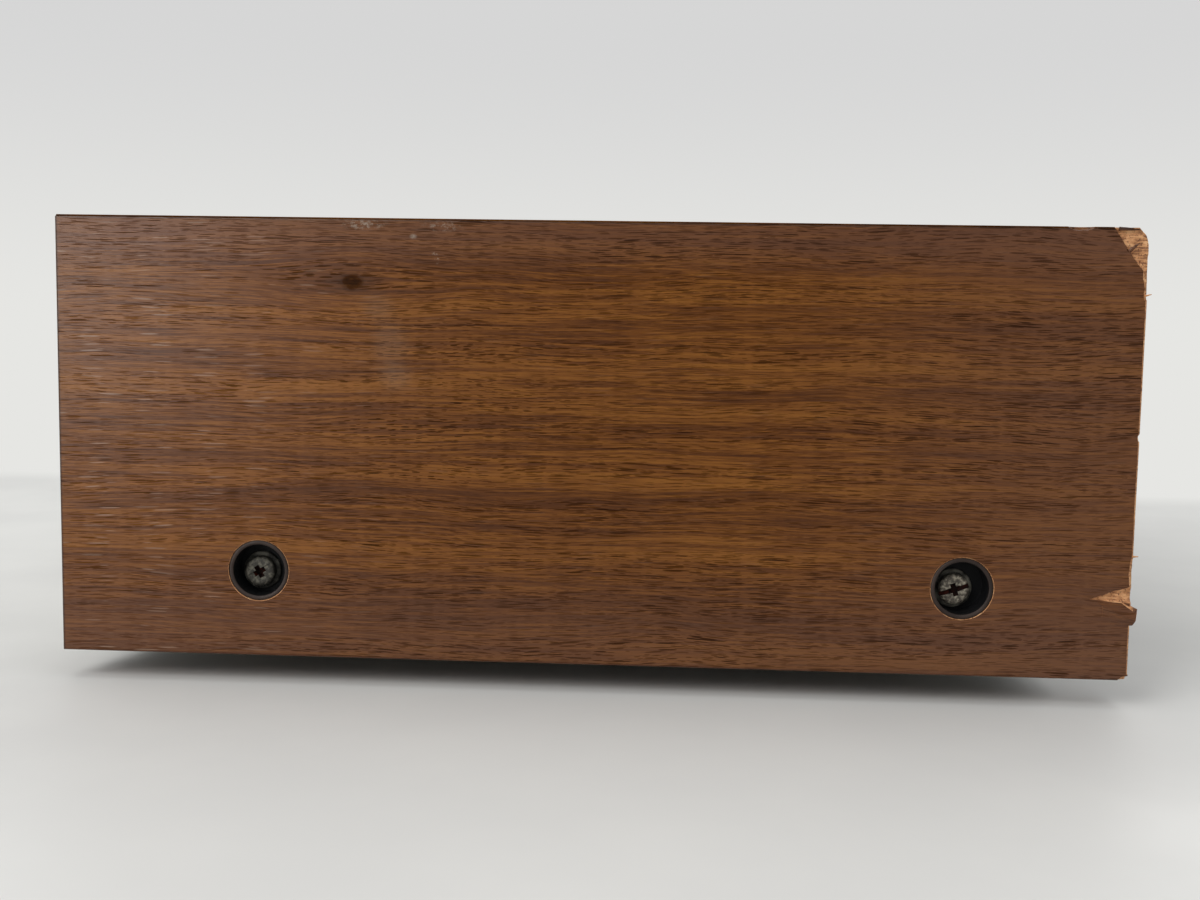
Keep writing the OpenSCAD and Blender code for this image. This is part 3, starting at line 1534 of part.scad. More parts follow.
top_board();
left_side_board();
right_side_board();
glue_blocks();
dust_screen();
case_ferrules();
case_screws();
chassis_tray();
rear_panel();
front_subpanel();
front_panel();
feet();
chassis_screws();
transformer_core();
transformer_coil();
transformer_covers();
transformer_bolts();
filter_capacitors();
capacitor_clamps();
heat_sink();
power_transistors();
power_board();
driver_board();
preamp_board();
board_components();
board_standoffs();
potentiometers();
rotary_switches();
control_nuts();
lever_switches();
power_switch();
headphone_jack();
pilot_lamp();
pilot_lens();
volume_knob();
volume_shaft();
balance_knob();
balance_shaft();
bass_knob();
bass_shaft();
treble_knob();
treble_shaft();
selector_knob();
selector_shaft();
speaker_knob();
speaker_shaft();
loudness_lever();
low_filter_lever();
high_filter_lever();
tape_lever();
mode_lever();
power_button();
jack_board();
input_jacks();
speaker_terminals();
terminal_screws();
fuse_holder();
fuse_cap();
cord_gland();
wiring();
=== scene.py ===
"""Looks of a stereo amplifier in a walnut sleeve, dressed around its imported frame.

Lengths are in metres unless a name says otherwise. The front faces -Y, and +Z is up.
"""
import logging
import math
from dataclasses import dataclass, field
from enum import Enum
from typing import Callable, ClassVar

import bmesh
import bpy
from mathutils import Matrix, Vector, noise


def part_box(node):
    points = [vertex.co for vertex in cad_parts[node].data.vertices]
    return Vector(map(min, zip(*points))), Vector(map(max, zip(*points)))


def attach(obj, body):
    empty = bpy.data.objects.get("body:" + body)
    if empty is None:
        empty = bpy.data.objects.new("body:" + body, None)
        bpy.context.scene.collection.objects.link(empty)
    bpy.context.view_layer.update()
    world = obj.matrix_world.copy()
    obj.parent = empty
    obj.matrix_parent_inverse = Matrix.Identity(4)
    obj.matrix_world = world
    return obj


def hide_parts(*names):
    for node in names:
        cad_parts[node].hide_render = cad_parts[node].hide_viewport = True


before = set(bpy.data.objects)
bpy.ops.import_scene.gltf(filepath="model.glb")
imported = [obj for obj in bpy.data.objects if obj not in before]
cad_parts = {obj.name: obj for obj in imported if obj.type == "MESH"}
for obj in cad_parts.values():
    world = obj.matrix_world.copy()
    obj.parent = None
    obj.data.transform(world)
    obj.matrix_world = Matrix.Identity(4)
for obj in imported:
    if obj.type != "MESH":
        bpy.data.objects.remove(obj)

log = logging.getLogger("amplifier")
MM = 0.001
MERGE = 1e-6
NOISE_SEED = 1
CHASSIS = "chassis"
Colour = tuple[float, float, float, float]
Value = float | Colour | tuple[float, float, float] | bpy.types.NodeSocket


def tone(red: int, green: int, blue: int) -> Colour:
    """A display colour of 0 to 255 a channel, as the linear colour that a shader takes."""
    shares = (channel / 255 for channel in (red, green, blue))
    linear = (s / 12.92 if s <= 0.04045 else ((s + 0.055) / 1.055) ** 2.4 for s in shares)
    return (*linear, 1.0)


class Sheet:
    """A node tree that is being drawn up."""

    def __init__(self, tree: bpy.types.NodeTree) -> None:
        """Draw on this tree."""
        self.tree = tree

    def add(self, kind: str, feeds: dict[str | int, Value] | None = None,
            **settings: object) -> bpy.types.Node:
        """Add one node.

        Args:
            kind: The node's class name, without its Shader Node prefix where it has that.
            feeds: What goes into its inputs, by their name or number.
            settings: Its other settings, by attribute name.

        Returns:
            The new node.
        """
        node = self.tree.nodes.new("ShaderNode" + kind)
        for name, setting in settings.items():
            setattr(node, name, setting)
        for name, value in (feeds or {}).items():
            self.feed(node.inputs[name], value)
        return node

    def feed(self, socket: bpy.types.NodeSocket, value: Value) -> None:
        """Link a socket to this input, or set its plain value."""
        if isinstance(value, bpy.types.NodeSocket):
            self.tree.links.new(value, socket)
        else:
            socket.default_value = value

    def place(self) -> bpy.types.NodeSocket:
        """The surface point in the object's own coordinates."""
        return self.add("TexCoord").outputs["Object"]

    def mapped(self, vector: Value, scale: tuple[float, float, float],
               shift: tuple[float, float, float] = (0, 0, 0)) -> bpy.types.NodeSocket:
        """A vector scaled along each axis and then shifted.

        Args:
            vector: What is mapped.
            scale: The factor along each axis.
            shift: What is added after scaling.

        Returns:
            The mapped vector.
        """
        return self.add("Mapping", {"Vector": vector, "Scale": scale, "Location": shift}).outputs[0]

    def math(self, operation: str, *values: Value, clamp: bool = False) -> bpy.types.NodeSocket:
        """The result of one arithmetic operation on these values."""
        return self.add("Math", dict(enumerate(values)), operation=operation, use_clamp=clamp).outputs[0]

    def vector_math(self, operation: str, *values: Value) -> bpy.types.NodeSocket:
        """The vector result of one operation on these vectors."""
        return self.add("VectorMath", dict(enumerate(values)), operation=operation).outputs[0]

    def noise(self, vector: Value, scale: float = 1.0, detail: float = 2.0, roughness: float = 0.5,
              output: str = "Fac") -> bpy.types.NodeSocket:
        """Soft random variation.

        Args:
            vector: Where it is read.
            scale: How fine it is.
            detail: How many octaves it has.
            roughness: How strong the finer octaves are.
            output: The noise node's output that is wanted.

        Returns:
            The chosen output.
        """
        feeds = {"Vector": vector, "Scale": scale, "Detail": detail, "Roughness": roughness}
        return self.add("TexNoise", feeds).outputs[output]

    def range(self, value: Value, low: float, high: float, start: Value = 0.0, end: Value = 1.0,
              ) -> bpy.types.NodeSocket:
        """A smooth step of a value.

        Args:
            value: What is stepped.
            low: Where the step begins.
            high: Where the step ends.
            start: The result below low.
            end: The result above high.

        Returns:
            The stepped value.
        """
        feeds = {"Value": value, "From Min": low, "From Max": high, "To Min": start, "To Max": end}
        return self.add("MapRange", feeds, interpolation_type="SMOOTHSTEP").outputs[0]

    def mix(self, factor: Value, first: Value, second: Value) -> bpy.types.NodeSocket:
        """A colour between two colours."""
        feeds = {0: factor, 6: first, 7: second}
        return self.add("Mix", feeds, data_type="RGBA", clamp_factor=True).outputs[2]

    def blend(self, value: Value, *colours: Colour, stepped: bool = False) -> bpy.types.NodeSocket:
        """A colour along an even run of colours.

        Args:
            value: Where along the run, from 0 to 1.
            colours: The run.
            stepped: Whether each colour has its own even share, without blending.

        Returns:
            The colour.
        """
        node = self.add("ValToRGB", {0: value})
        node.color_ramp.interpolation = "CONSTANT" if stepped else "LINEAR"
        stops = node.color_ramp.elements
        spaces = len(colours) if stepped else len(colours) - 1
        while len(stops) < len(colours):
            stops.new(0.5)
        for index, colour in enumerate(colours):
            stops[index].position = index / spaces
            stops[index].color = colour
        return node.outputs[0]

    def group(self, tree: bpy.types.NodeTree, feeds: dict[str, Value]) -> bpy.types.Node:
        """Place a node group with its own values."""
        node = self.tree.nodes.new("ShaderNodeGroup")
        node.node_tree = tree
        for name, value in feeds.items():
            self.feed(node.inputs[name], value)
        return node

    def bump(self, height: Value, strength: float, depth: float, normal: Value | None = None,
             ) -> bpy.types.NodeSocket:
        """A normal bent by a height.

        Args:
            height: The height, from 0 to 1.
            strength: How much of the bend shows.
            depth: The real depth of a height of 1.
            normal: The normal that is bent, if it isn't the surface's own.

        Returns:
            The bent normal.
        """
        feeds = {"Height": height, "Strength": strength, "Distance": depth}
        if normal is not None:
            feeds["Normal"] = normal
        return self.add("Bump", feeds).outputs[0]


class Effect:
    """A shader node group that several finishes share."""

    made: dict[str, bpy.types.NodeTree] = {}

    def __init__(self, name: str, inputs: dict[str, str], outputs: dict[str, str]) -> None:
        """Start a group.

        Args:
            name: The group's name.
            inputs: The kind of each input socket, by name.
            outputs: The kind of each output socket, by name.
        """
        self.tree = bpy.data.node_groups.new(name, "ShaderNodeTree")
        for way, sockets in (("INPUT", inputs), ("OUTPUT", outputs)):
            for socket, kind in sockets.items():
                self.tree.interface.new_socket(name=socket, in_out=way, socket_type="NodeSocket" + kind)
        self.sheet = Sheet(self.tree)
        self.inputs = self.tree.nodes.new("NodeGroupInput").outputs
        self.outputs = self.tree.nodes.new("NodeGroupOutput").inputs
        Effect.made[name] = self.tree

    def put(self, **values: Value) -> None:
        """Feed the outputs, by name."""
        for name, value in values.items():
            self.sheet.feed(self.outputs[name], value)


def draw_wood_grain() -> None:
    """Grain that runs along Y, read at a place in millimetres: bands, pores, and pale dashes that paint
    glints.
    """
    effect = Effect("wood_grain", {"Place": "Vector", "Waviness": "Float", "Short": "Float"},
                    {"Tone": "Float", "Pores": "Float", "Flecks": "Float", "Fibre": "Float"})
    sheet, place = effect.sheet, effect.inputs["Place"]
    drift = sheet.noise(sheet.mapped(place, (0.02, 0.011, 0.035)), detail=2, output="Color")
    drift = sheet.vector_math("SUBTRACT", drift, (0.5, 0.5, 0.5))
    wave = effect.inputs["Waviness"]
    reach = sheet.add("CombineXYZ", {"X": wave, "Z": wave}).outputs[0]
    flow = sheet.vector_math("ADD", place, sheet.vector_math("MULTIPLY", drift, reach))
    bands = sheet.noise(sheet.mapped(flow, (0.05, 0.0032, 0.1)), detail=3, roughness=0.55)
    streaks = sheet.noise(sheet.mapped(flow, (0.5, 0.016, 0.95)), detail=3, roughness=0.6)
    fibre = sheet.noise(sheet.mapped(flow, (1.8, 0.05, 3.0)), detail=3, roughness=0.6)
    tone_value = sheet.math("MULTIPLY", bands, 0.34)
    tone_value = sheet.math("MULTIPLY_ADD", streaks, 0.31, tone_value)
    tone_value = sheet.math("MULTIPLY_ADD", fibre, 0.35, tone_value)
    axes = sheet.add("SeparateXYZ", {0: flow}).outputs
    across = sheet.math("ADD", axes["X"], axes["Z"])

    def dashes(cross: float, along: float, empty: float, least: float) -> bpy.types.NodeSocket:
        """Short dashes along the grain.

        Args:
            cross: Width of the space that each may lie in, in millimetres.
            along: Its length, in millimetres.
            empty: How many of the spaces stay empty, from 0 to 1.
            least: The thinnest dash, as a share of its space.

        Returns:
            1 on a dash and 0 off it.
        """
        spaces = sheet.add("CombineXYZ", {"X": sheet.math("DIVIDE", axes["Y"], along),
                                          "Y": sheet.math("DIVIDE", across, cross)}).outputs[0]
        cells = sheet.add("TexVoronoi", {"Vector": spaces, "Scale": 1.0, "Randomness": 1.0},
                          voronoi_dimensions="2D").outputs
        pick = sheet.add("SeparateColor", {0: cells["Color"]}).outputs
        size = sheet.math("MULTIPLY_ADD", pick[1], 0.24, least)
        body = sheet.range(sheet.math("SUBTRACT", size, cells["Distance"]), 0.0, 0.11)
        depth = sheet.math("MULTIPLY_ADD", pick[2], 0.6, 0.4)
        taken = sheet.range(pick[0], empty, empty + 0.1)
        return sheet.math("MULTIPLY", sheet.math("MULTIPLY", body, depth), taken)

    short = effect.inputs["Short"]
    long_share = sheet.range(short, 0.0, 1.0, 1.0, 0.3)
    short_share = sheet.range(short, 0.0, 1.0, 0.55, 1.0)
    long_pores = sheet.math("MULTIPLY", dashes(0.6, 15, 0.32, 0.14), long_share)
    mid_pores = dashes(0.52, 8.5, 0.2, 0.16)
    short_pores = sheet.math("MULTIPLY", dashes(0.48, 3.8, 0.34, 0.18), short_share)
    crowd = sheet.noise(sheet.mapped(flow, (0.06, 0.008, 0.16)), detail=2)
    crowd = sheet.range(crowd, 0.34, 0.62, 0.45, 1.0)
    pores = sheet.math("MAXIMUM", sheet.math("MAXIMUM", long_pores, mid_pores), short_pores)
    effect.put(Tone=tone_value, Pores=sheet.math("MULTIPLY", pores, crowd),
               Flecks=dashes(1.2, 17, 0.5, 0.05), Fibre=fibre)


def draw_worn_edges() -> None:
    """A mask on the edges of a piece, and a normal that rounds them."""
    effect = Effect("worn_edges", {"Radius": "Float"}, {"Mask": "Float", "Normal": "Vector"})
    sheet = effect.sheet
    rounded = sheet.add("Bevel", {"Radius": effect.inputs["Radius"]}, samples=4).outputs[0]
    flat = sheet.add("NewGeometry").outputs["Normal"]
    likeness = sheet.add("VectorMath", {0: rounded, 1: flat}, operation="DOT_PRODUCT").outputs["Value"]
    broken = sheet.noise(sheet.place(), scale=350, detail=3)
    mask = sheet.math("MULTIPLY", sheet.range(likeness, 0.995, 0.86), sheet.range(broken, 0.35, 0.6))
    effect.put(Mask=mask, Normal=rounded)


def draw_mottle() -> None:
    """Soft patches and fine specks, which break up an even colour."""
    effect = Effect("mottle", {"Scale": "Float"}, {"Patches": "Float", "Specks": "Float"})
    sheet, scale = effect.sheet, effect.inputs["Scale"]
    patches = sheet.add("TexNoise", {"Vector": sheet.place(), "Scale": scale, "Detail": 4.0})
    fine = sheet.math("MULTIPLY", scale, 14.0)
    specks = sheet.add("TexNoise", {"Vector": sheet.place(), "Scale": fine, "Detail": 2.0})
    effect.put(Patches=patches.outputs["Fac"], Specks=specks.outputs["Fac"])


def draw_brushing() -> None:
    """Fine lines from a brush that ran along one axis, given by how a place is stretched."""
    effect = Effect("brushing", {"Stretch": "Vector"}, {"Lines": "Float"})
    sheet = effect.sheet
    place = sheet.vector_math("MULTIPLY", sheet.place(), effect.inputs["Stretch"])
    fine = sheet.noise(place, detail=4, roughness=0.7)
    effect.put(Lines=fine)


def draw_dust() -> None:
    """Dust that has settled on faces that look up."""
    effect = Effect("dust", {"Amount": "Float"}, {"Mask": "Float"})
    sheet = effect.sheet
    up = sheet.add("SeparateXYZ", {0: sheet.add("NewGeometry").outputs["Normal"]}).outputs["Z"]
    lies = sheet.range(up, 0.35, 0.95)
    drift = sheet.range(sheet.noise(sheet.place(), scale=60, detail=5, roughness=0.65), 0.3, 0.75)
    effect.put(Mask=sheet.math("MULTIPLY", sheet.math("MULTIPLY", lies, drift), effect.inputs["Amount"]))


DUST = tone(150, 142, 130)


@dataclass(frozen=True)
class Finish:
    """How a surface looks."""

    name: str

    def material(self) -> bpy.types.Material:
        """Make the finish's node material."""
        material = bpy.data.materials.new(self.name)
        material.use_nodes = True
        sheet = Sheet(material.node_tree)
        self.draw(sheet, material.node_tree.nodes["Principled BSDF"])
        log.info("finish %s", material.name)
        return material

    def draw(self, sheet: Sheet, shader: bpy.types.Node) -> None:
        """Draw the finish's nodes into the shader."""
        raise NotImplementedError


@dataclass(frozen=True)
class Metal(Finish):
    """Bare or plated metal: brushed or plain, with tarnish, dust and edges rubbed bright."""

    colour: Colour
    tarnish: Colour
    roughness: float = 0.32
    brushed: tuple[float, float, float] = (1500.0, 1500.0, 1500.0)
    tarnished: float = 0.4
    metallic: float = 1.0
    dust: float = 0.3
    edge: float = 0.0003
    patches: float = 90.0
    gloss: float = 0.5

    def draw(self, sheet: Sheet, shader: bpy.types.Node) -> None:
        """Draw the metal's nodes into the shader."""
        shader.inputs["Specular IOR Level"].default_value = self.gloss
        mottle = sheet.group(Effect.made["mottle"], {"Scale": self.patches}).outputs
        lines = sheet.group(Effect.made["brushing"], {"Stretch": self.brushed}).outputs["Lines"]
        edges = sheet.group(Effect.made["worn_edges"], {"Radius": self.edge}).outputs
        dust = sheet.group(Effect.made["dust"], {"Amount": self.dust}).outputs["Mask"]
        stain = sheet.math("MULTIPLY", sheet.range(mottle["Patches"], 0.42, 0.68), self.tarnished)
        specks = sheet.range(mottle["Specks"], 0.58, 0.75)
        stain = sheet.math("MULTIPLY_ADD", specks, self.tarnished * 0.5, stain)
        colour = sheet.mix(sheet.range(lines, 0.3, 0.7, 0.0, 0.18), self.colour, self.tarnish)
        colour = sheet.mix(stain, colour, self.tarnish)
        colour = sheet.mix(sheet.math("MULTIPLY", edges["Mask"], 0.6), colour, self.colour)
        sheet.feed(shader.inputs["Base Color"], sheet.mix(dust, colour, DUST))
        rough = sheet.range(lines, 0.25, 0.75, self.roughness - 0.07, self.roughness + 0.08)
        rough = sheet.math("MULTIPLY_ADD", stain, 0.25, rough)
        sheet.feed(shader.inputs["Roughness"], sheet.math("MULTIPLY_ADD", dust, 0.4, rough, clamp=True))
        dulled = sheet.math("MULTIPLY", dust, self.metallic)
        bare = sheet.math("SUBTRACT", self.metallic, dulled, clamp=True)
        sheet.feed(shader.inputs["Metallic"], bare)
        sheet.feed(shader.inputs["Normal"], sheet.bump(lines, 0.25, 0.00002, edges["Normal"]))


@dataclass(frozen=True)
class Moulded(Finish):
    """Plastic, rubber, paint or resin: a coloured surface with a fine grain, dust and paler edges."""

    colour: Colour
    worn: Colour
    roughness: float = 0.45
    grain: float = 900.0
    grain_depth: float = 0.00003
    variation: float = 0.35
    dust: float = 0.35
    edge: float = 0.0003
    gloss: float = 0.5

    def draw(self, sheet: Sheet, shader: bpy.types.Node) -> None:
        """Draw the nodes into the shader."""
        shader.inputs["Specular IOR Level"].default_value = self.gloss
        mottle = sheet.group(Effect.made["mottle"], {"Scale": 70.0}).outputs
        edges = sheet.group(Effect.made["worn_edges"], {"Radius": self.edge}).outputs
        dust = sheet.group(Effect.made["dust"], {"Amount": self.dust}).outputs["Mask"]
        grain = sheet.noise(sheet.place(), scale=self.grain, detail=2)
        shift = sheet.math("MULTIPLY", sheet.range(mottle["Patches"], 0.35, 0.7), self.variation)
        colour = sheet.mix(shift, self.colour, self.worn)
        colour = sheet.mix(sheet.math("MULTIPLY", edges["Mask"], 0.45), colour, self.worn)
        sheet.feed(shader.inputs["Base Color"], sheet.mix(dust, colour, DUST))
        rough = sheet.range(mottle["Specks"], 0.3, 0.7, self.roughness - 0.06, self.roughness + 0.1)
        sheet.feed(shader.inputs["Roughness"], sheet.math("MULTIPLY_ADD", dust, 0.35, rough, clamp=True))
        sheet.feed(shader.inputs["Normal"], sheet.bump(grain, 0.5, self.grain_depth, edges["Normal"]))


@dataclass(frozen=True)
class Assorted(Finish):
    """Many small separate parts in one mesh, each with one of several colours."""

    colours: tuple[Colour, ...]
    roughness: float = 0.4

    def draw(self, sheet: Sheet, shader: bpy.types.Node) -> None:
        """Draw the nodes into the shader."""
        lot = sheet.add("NewGeometry").outputs["Random Per Island"]
        picked = sheet.blend(lot, *self.colours, stepped=True)
        mottle = sheet.group(Effect.made["mottle"], {"Scale": 160.0}).outputs
        dust = sheet.group(Effect.made["dust"], {"Amount": 0.4}).outputs["Mask"]
        grimy = sheet.mix(sheet.range(mottle["Patches"], 0.4, 0.75, 0.0, 0.35), picked, DUST)
        sheet.feed(shader.inputs["Base Color"], sheet.mix(dust, grimy, DUST))
        rough = sheet.range(mottle["Specks"], 0.3, 0.7, self.roughness - 0.06, self.roughness + 0.1)
        sheet.feed(shader.inputs["Roughness"], rough)


@dataclass(frozen=True)
class Clear(Finish):
    """Glass or a coloured lens."""

    colour: Colour
    glow: float = 0.0

    def draw(self, sheet: Sheet, shader: bpy.types.Node) -> None:
        """Draw the clear material's nodes into the shader."""
        mottle = sheet.group(Effect.made["mottle"], {"Scale": 120.0}).outputs
        deep = tuple(channel * 0.6 for channel in self.colour[:3]) + (1.0,)
        sheet.feed(shader.inputs["Base Color"], sheet.mix(mottle["Patches"], self.colour, deep))
        sheet.feed(shader.inputs["Roughness"], sheet.range(mottle["Specks"], 0.3, 0.8, 0.08, 0.22))
        shader.inputs["Transmission Weight"].default_value = 0.75
        shader.inputs["Emission Color"].default_value = self.colour
        shader.inputs["Emission Strength"].default_value = self.glow


@dataclass(frozen=True)
class Wound(Finish):
    """A coil wrapped in varnished paper, with the wire's turns pressing through."""

    colour: Colour
    turn: Colour
    turn_pitch: float = 0.0011

    def draw(self, sheet: Sheet, shader: bpy.types.Node) -> None:
        """Draw the coil's nodes into the shader."""
        feeds = {"Vector": sheet.place(), "Scale": 1 / (self.turn_pitch * 3.2), "Distortion": 0.6,
                 "Detail": 1.0}
        rings = sheet.add("TexWave", feeds, bands_direction="Z").outputs["Fac"]
        mottle = sheet.group(Effect.made["mottle"], {"Scale": 80.0}).outputs
        colour = sheet.mix(rings, self.turn, self.colour)
        sheet.feed(shader.inputs["Base Color"], sheet.mix(mottle["Patches"], colour, self.turn))
        sheet.feed(shader.inputs["Roughness"], sheet.range(mottle["Specks"], 0.3, 0.7, 0.35, 0.55))
        sheet.feed(shader.inputs["Normal"], sheet.bump(rings, 0.6, 0.0002))


@dataclass(frozen=True)
class RawWood(Finish):
    """Wood where the veneer has broken away: fibrous, pale and uneven."""

    pale: Colour
    deep: Colour
    shade: Colour
    stretch: tuple[float, float, float] = (900.0, 260.0, 1500.0)
    lump: float = 0.4
    specked: float = 0.85

    def draw(self, sheet: Sheet, shader: bpy.types.Node) -> None:
        """Draw the raw wood's nodes into the shader."""
        fibre = sheet.noise(sheet.mapped(sheet.place(), self.stretch), detail=5, roughness=0.7)
        lumps = sheet.noise(sheet.place(), scale=420, detail=3)
        value = sheet.math("MULTIPLY_ADD", fibre, 1 - self.lump, sheet.math("MULTIPLY", lumps, self.lump))
        colour = sheet.blend(sheet.range(value, 0.3, 0.68), self.shade, self.deep, self.pale)
        specks = sheet.range(sheet.noise(sheet.place(), scale=1500, detail=2), 0.56, 0.68)
        colour = sheet.mix(sheet.math("MULTIPLY", specks, self.specked), colour, self.shade)
        sheet.feed(shader.inputs["Base Color"], colour)
        sheet.feed(shader.inputs["Roughness"], sheet.range(fibre, 0.3, 0.7, 0.75, 0.95))
        sheet.feed(shader.inputs["Normal"], sheet.bump(value, 0.9, 0.0006))


@dataclass(frozen=True)
class Walnut(Finish):
    """Satin walnut veneer with its grain along Y. Places on the board are in millimetres.

    A place is counted from the board's front lower corner, as (along, up).
    """

    corner: tuple[float, float, float]
    shift: tuple[float, float, float]
    size: tuple[float, float]
    knot: tuple[float, float] = (92.5, 116.6)
    side: bool = True
    marked: bool = False
    varnish: float = 0.52
    varnish_roughness: float = 0.3
    pore_varnish: float = 0.06
    bare_gloss: float = 0.02

    DARK: ClassVar[Colour] = tone(75, 39, 9)
    MID: ClassVar[Colour] = tone(104, 59, 15)
    LIGHT: ClassVar[Colour] = tone(131, 81, 27)
    # A greyish plum that paints the lamps' sheen on the veneer.
    PLUM: ClassVar[Colour] = tone(100, 67, 50)
    PORE: ClassVar[Colour] = tone(30, 14, 5)
    # Pale dashes that paint glints on the open grain.
    FLECK_GLINT: ClassVar[Colour] = tone(165, 140, 122)
    EDGE: ClassVar[Colour] = tone(44, 30, 24)
    RESIDUE: ClassVar[Colour] = tone(176, 166, 152)
    # Half length and half height of the knot's heart, of the dark round it and of the bent grain.
    KNOT_CORE: ClassVar[tuple[float, float]] = (4.6, 3.2)
    KNOT_HALO: ClassVar[tuple[float, float]] = (13.0, 6.0)
    KNOT_FLOW: ClassVar[tuple[float, float]] = (42.0, 15.0)
    # Where most pores are short: the middle and the reach.
    SHORT_GRAIN: ClassVar[tuple[tuple[float, float], ...]] = ((118.0, 80.0), (62.0, 46.0))
    # Where the veneer is tinted plum as a painted sheen, as (axis, start, end, strength): the top, the
    # bottom and the rear.
    PLUM_SHEEN_ENDS: ClassVar[tuple[tuple[str, float, float, float], ...]] = (
        ("Z", 118.0, 131.0, 0.55), ("Z", 36.0, 2.0, 0.45), ("Y", 205.0, 325.0, 0.45))
    # How much of the pores and of the painted glints shows along the board, as (start, end, share at each).
    PORES_SHOWN: ClassVar[tuple[float, float, float, float]] = (0.0, 120.0, 0.62, 0.9)
    GLINTS_SHOWN: ClassVar[tuple[float, float, float, float]] = (130.0, 10.0, 0.05, 0.45)
    # Each pale mark has its middle, its reach, where its crumbs start and are whole, and its strength.
    MARKS: ClassVar[tuple[tuple, ...]] = (
        ((96.0, 134.2), (9.0, 2.4), 0.46, 0.62, 0.42),
        ((120.0, 133.8), (8.0, 2.2), 0.47, 0.63, 0.38),
        ((111.2, 130.6), (1.5, 1.0), 0.3, 0.5, 0.4),
        ((118.0, 124.6), (1.6, 3.2), 0.54, 0.6, 0.4),
        ((100.5, 109.0), (7.0, 6.0), 0.0, 0.6, 0.05),
        ((104.2, 97.7), (8.0, 10.0), 0.0, 0.6, 0.06),
        ((106.0, 88.0), (7.0, 6.0), 0.0, 0.6, 0.07))

    def spot(self, sheet: Sheet, along_up: bpy.types.NodeSocket, centre: tuple[float, float],
             reach: tuple[float, float], low: float, high: float) -> bpy.types.NodeSocket:
        """A soft oval mask on the board.

        Args:
            sheet: Where it is drawn.
            along_up: The place on the board, in millimetres.
            centre: The oval's middle, as (along, up).
            reach: Its half length and half height.
            low: Where the mask is whole, as a share of the reach.
            high: Where it has faded out.

        Returns:
            The mask, from 0 to 1.
        """
        scale = (0.0, 1 / reach[0], 1 / reach[1])
        moved = sheet.mapped(along_up, scale, (0.0, -centre[0] / reach[0], -centre[1] / reach[1]))
        distance = sheet.add("VectorMath", {0: moved}, operation="LENGTH").outputs["Value"]
        return sheet.range(distance, low, high, 1.0, 0.0)

    def draw(self, sheet: Sheet, shader: bpy.types.Node) -> None:
        """Draw the veneer's nodes into the shader."""
        board = sheet.mapped(sheet.place(), (1 / MM, 1 / MM, 1 / MM), tuple(-c / MM for c in self.corner))
        place = sheet.vector_math("ADD", board, self.shift)
        knot_core = self.spot(sheet, board, self.knot, self.KNOT_CORE, 0.35, 1.0)
        knot_halo = self.spot(sheet, board, self.knot, self.KNOT_HALO, 0.0, 1.0)
        knot_flow = self.spot(sheet, board, self.knot, self.KNOT_FLOW, 0.0, 1.0)
        part = sheet.add("SeparateXYZ", {0: board}).outputs
        lean = sheet.math("MULTIPLY", sheet.math("SUBTRACT", part["Z"], self.knot[1]), knot_flow)
        bent = sheet.add("CombineXYZ", {"Z": sheet.math("MULTIPLY", lean, -0.55)}).outputs[0]
        place = sheet.vector_math("ADD", place, bent)
        way = sheet.add("SeparateXYZ", {0: sheet.add("NewGeometry").outputs["True Normal"]}).outputs
        outer = sheet.range(sheet.math("ABSOLUTE", way["X"]), 0.4, 0.9)
        end = sheet.range(sheet.math("ABSOLUTE", way["Y"]), 0.6, 0.8)
        along, across = ("Z", "X") if self.side else ("X", "Z")
        lipping = sheet.add("CombineXYZ", {"X": part[across], "Y": part[along]}).outputs[0]
        place = sheet.mix(end, place, lipping)
        short = self.spot(sheet, board, *self.SHORT_GRAIN, 0.15, 1.0)
        feeds = {"Place": place, "Waviness": 6.0, "Short": short}
        grain = sheet.group(Effect.made["wood_grain"], feeds).outputs
        colour = sheet.blend(sheet.range(grain["Tone"], 0.39, 0.61), self.DARK, self.MID, self.LIGHT)
        if self.side:
            # Painted sheen: the veneer is tinted plum towards its top, bottom and rear.
            for axis, start, stop, most in self.PLUM_SHEEN_ENDS:
                colour = sheet.mix(sheet.range(part[axis], start, stop, 0.0, most), colour, self.PLUM)
        shown = sheet.range(part["Y"], *self.PORES_SHOWN) if self.side else self.PORES_SHOWN[-1]
        colour = sheet.mix(sheet.math("MULTIPLY", grain["Pores"], shown), colour, self.PORE)
        colour = sheet.mix(sheet.math("MULTIPLY", end, 0.2), colour, self.EDGE)
        # Painted glints: pale dashes, strongest towards the front of the board.
        glints = sheet.math("MULTIPLY", grain["Flecks"], sheet.range(part["Y"], *self.GLINTS_SHOWN))
        colour = sheet.mix(glints, colour, self.FLECK_GLINT)
        rings = sheet.noise(sheet.mapped(board, (0.3, 0.35, 0.8)), detail=4, roughness=0.6)
        knot_mask = sheet.math("MULTIPLY", knot_core, sheet.range(rings, 0.3, 0.62, 0.55, 1.0))
        colour = sheet.mix(sheet.math("MULTIPLY", knot_halo, 0.42), colour, self.PORE)
        colour = sheet.mix(sheet.math("MULTIPLY", knot_mask, 0.75), colour, self.PORE)
        if self.marked:
            colour = self.draw_marks(sheet, board, colour)
        if self.side:
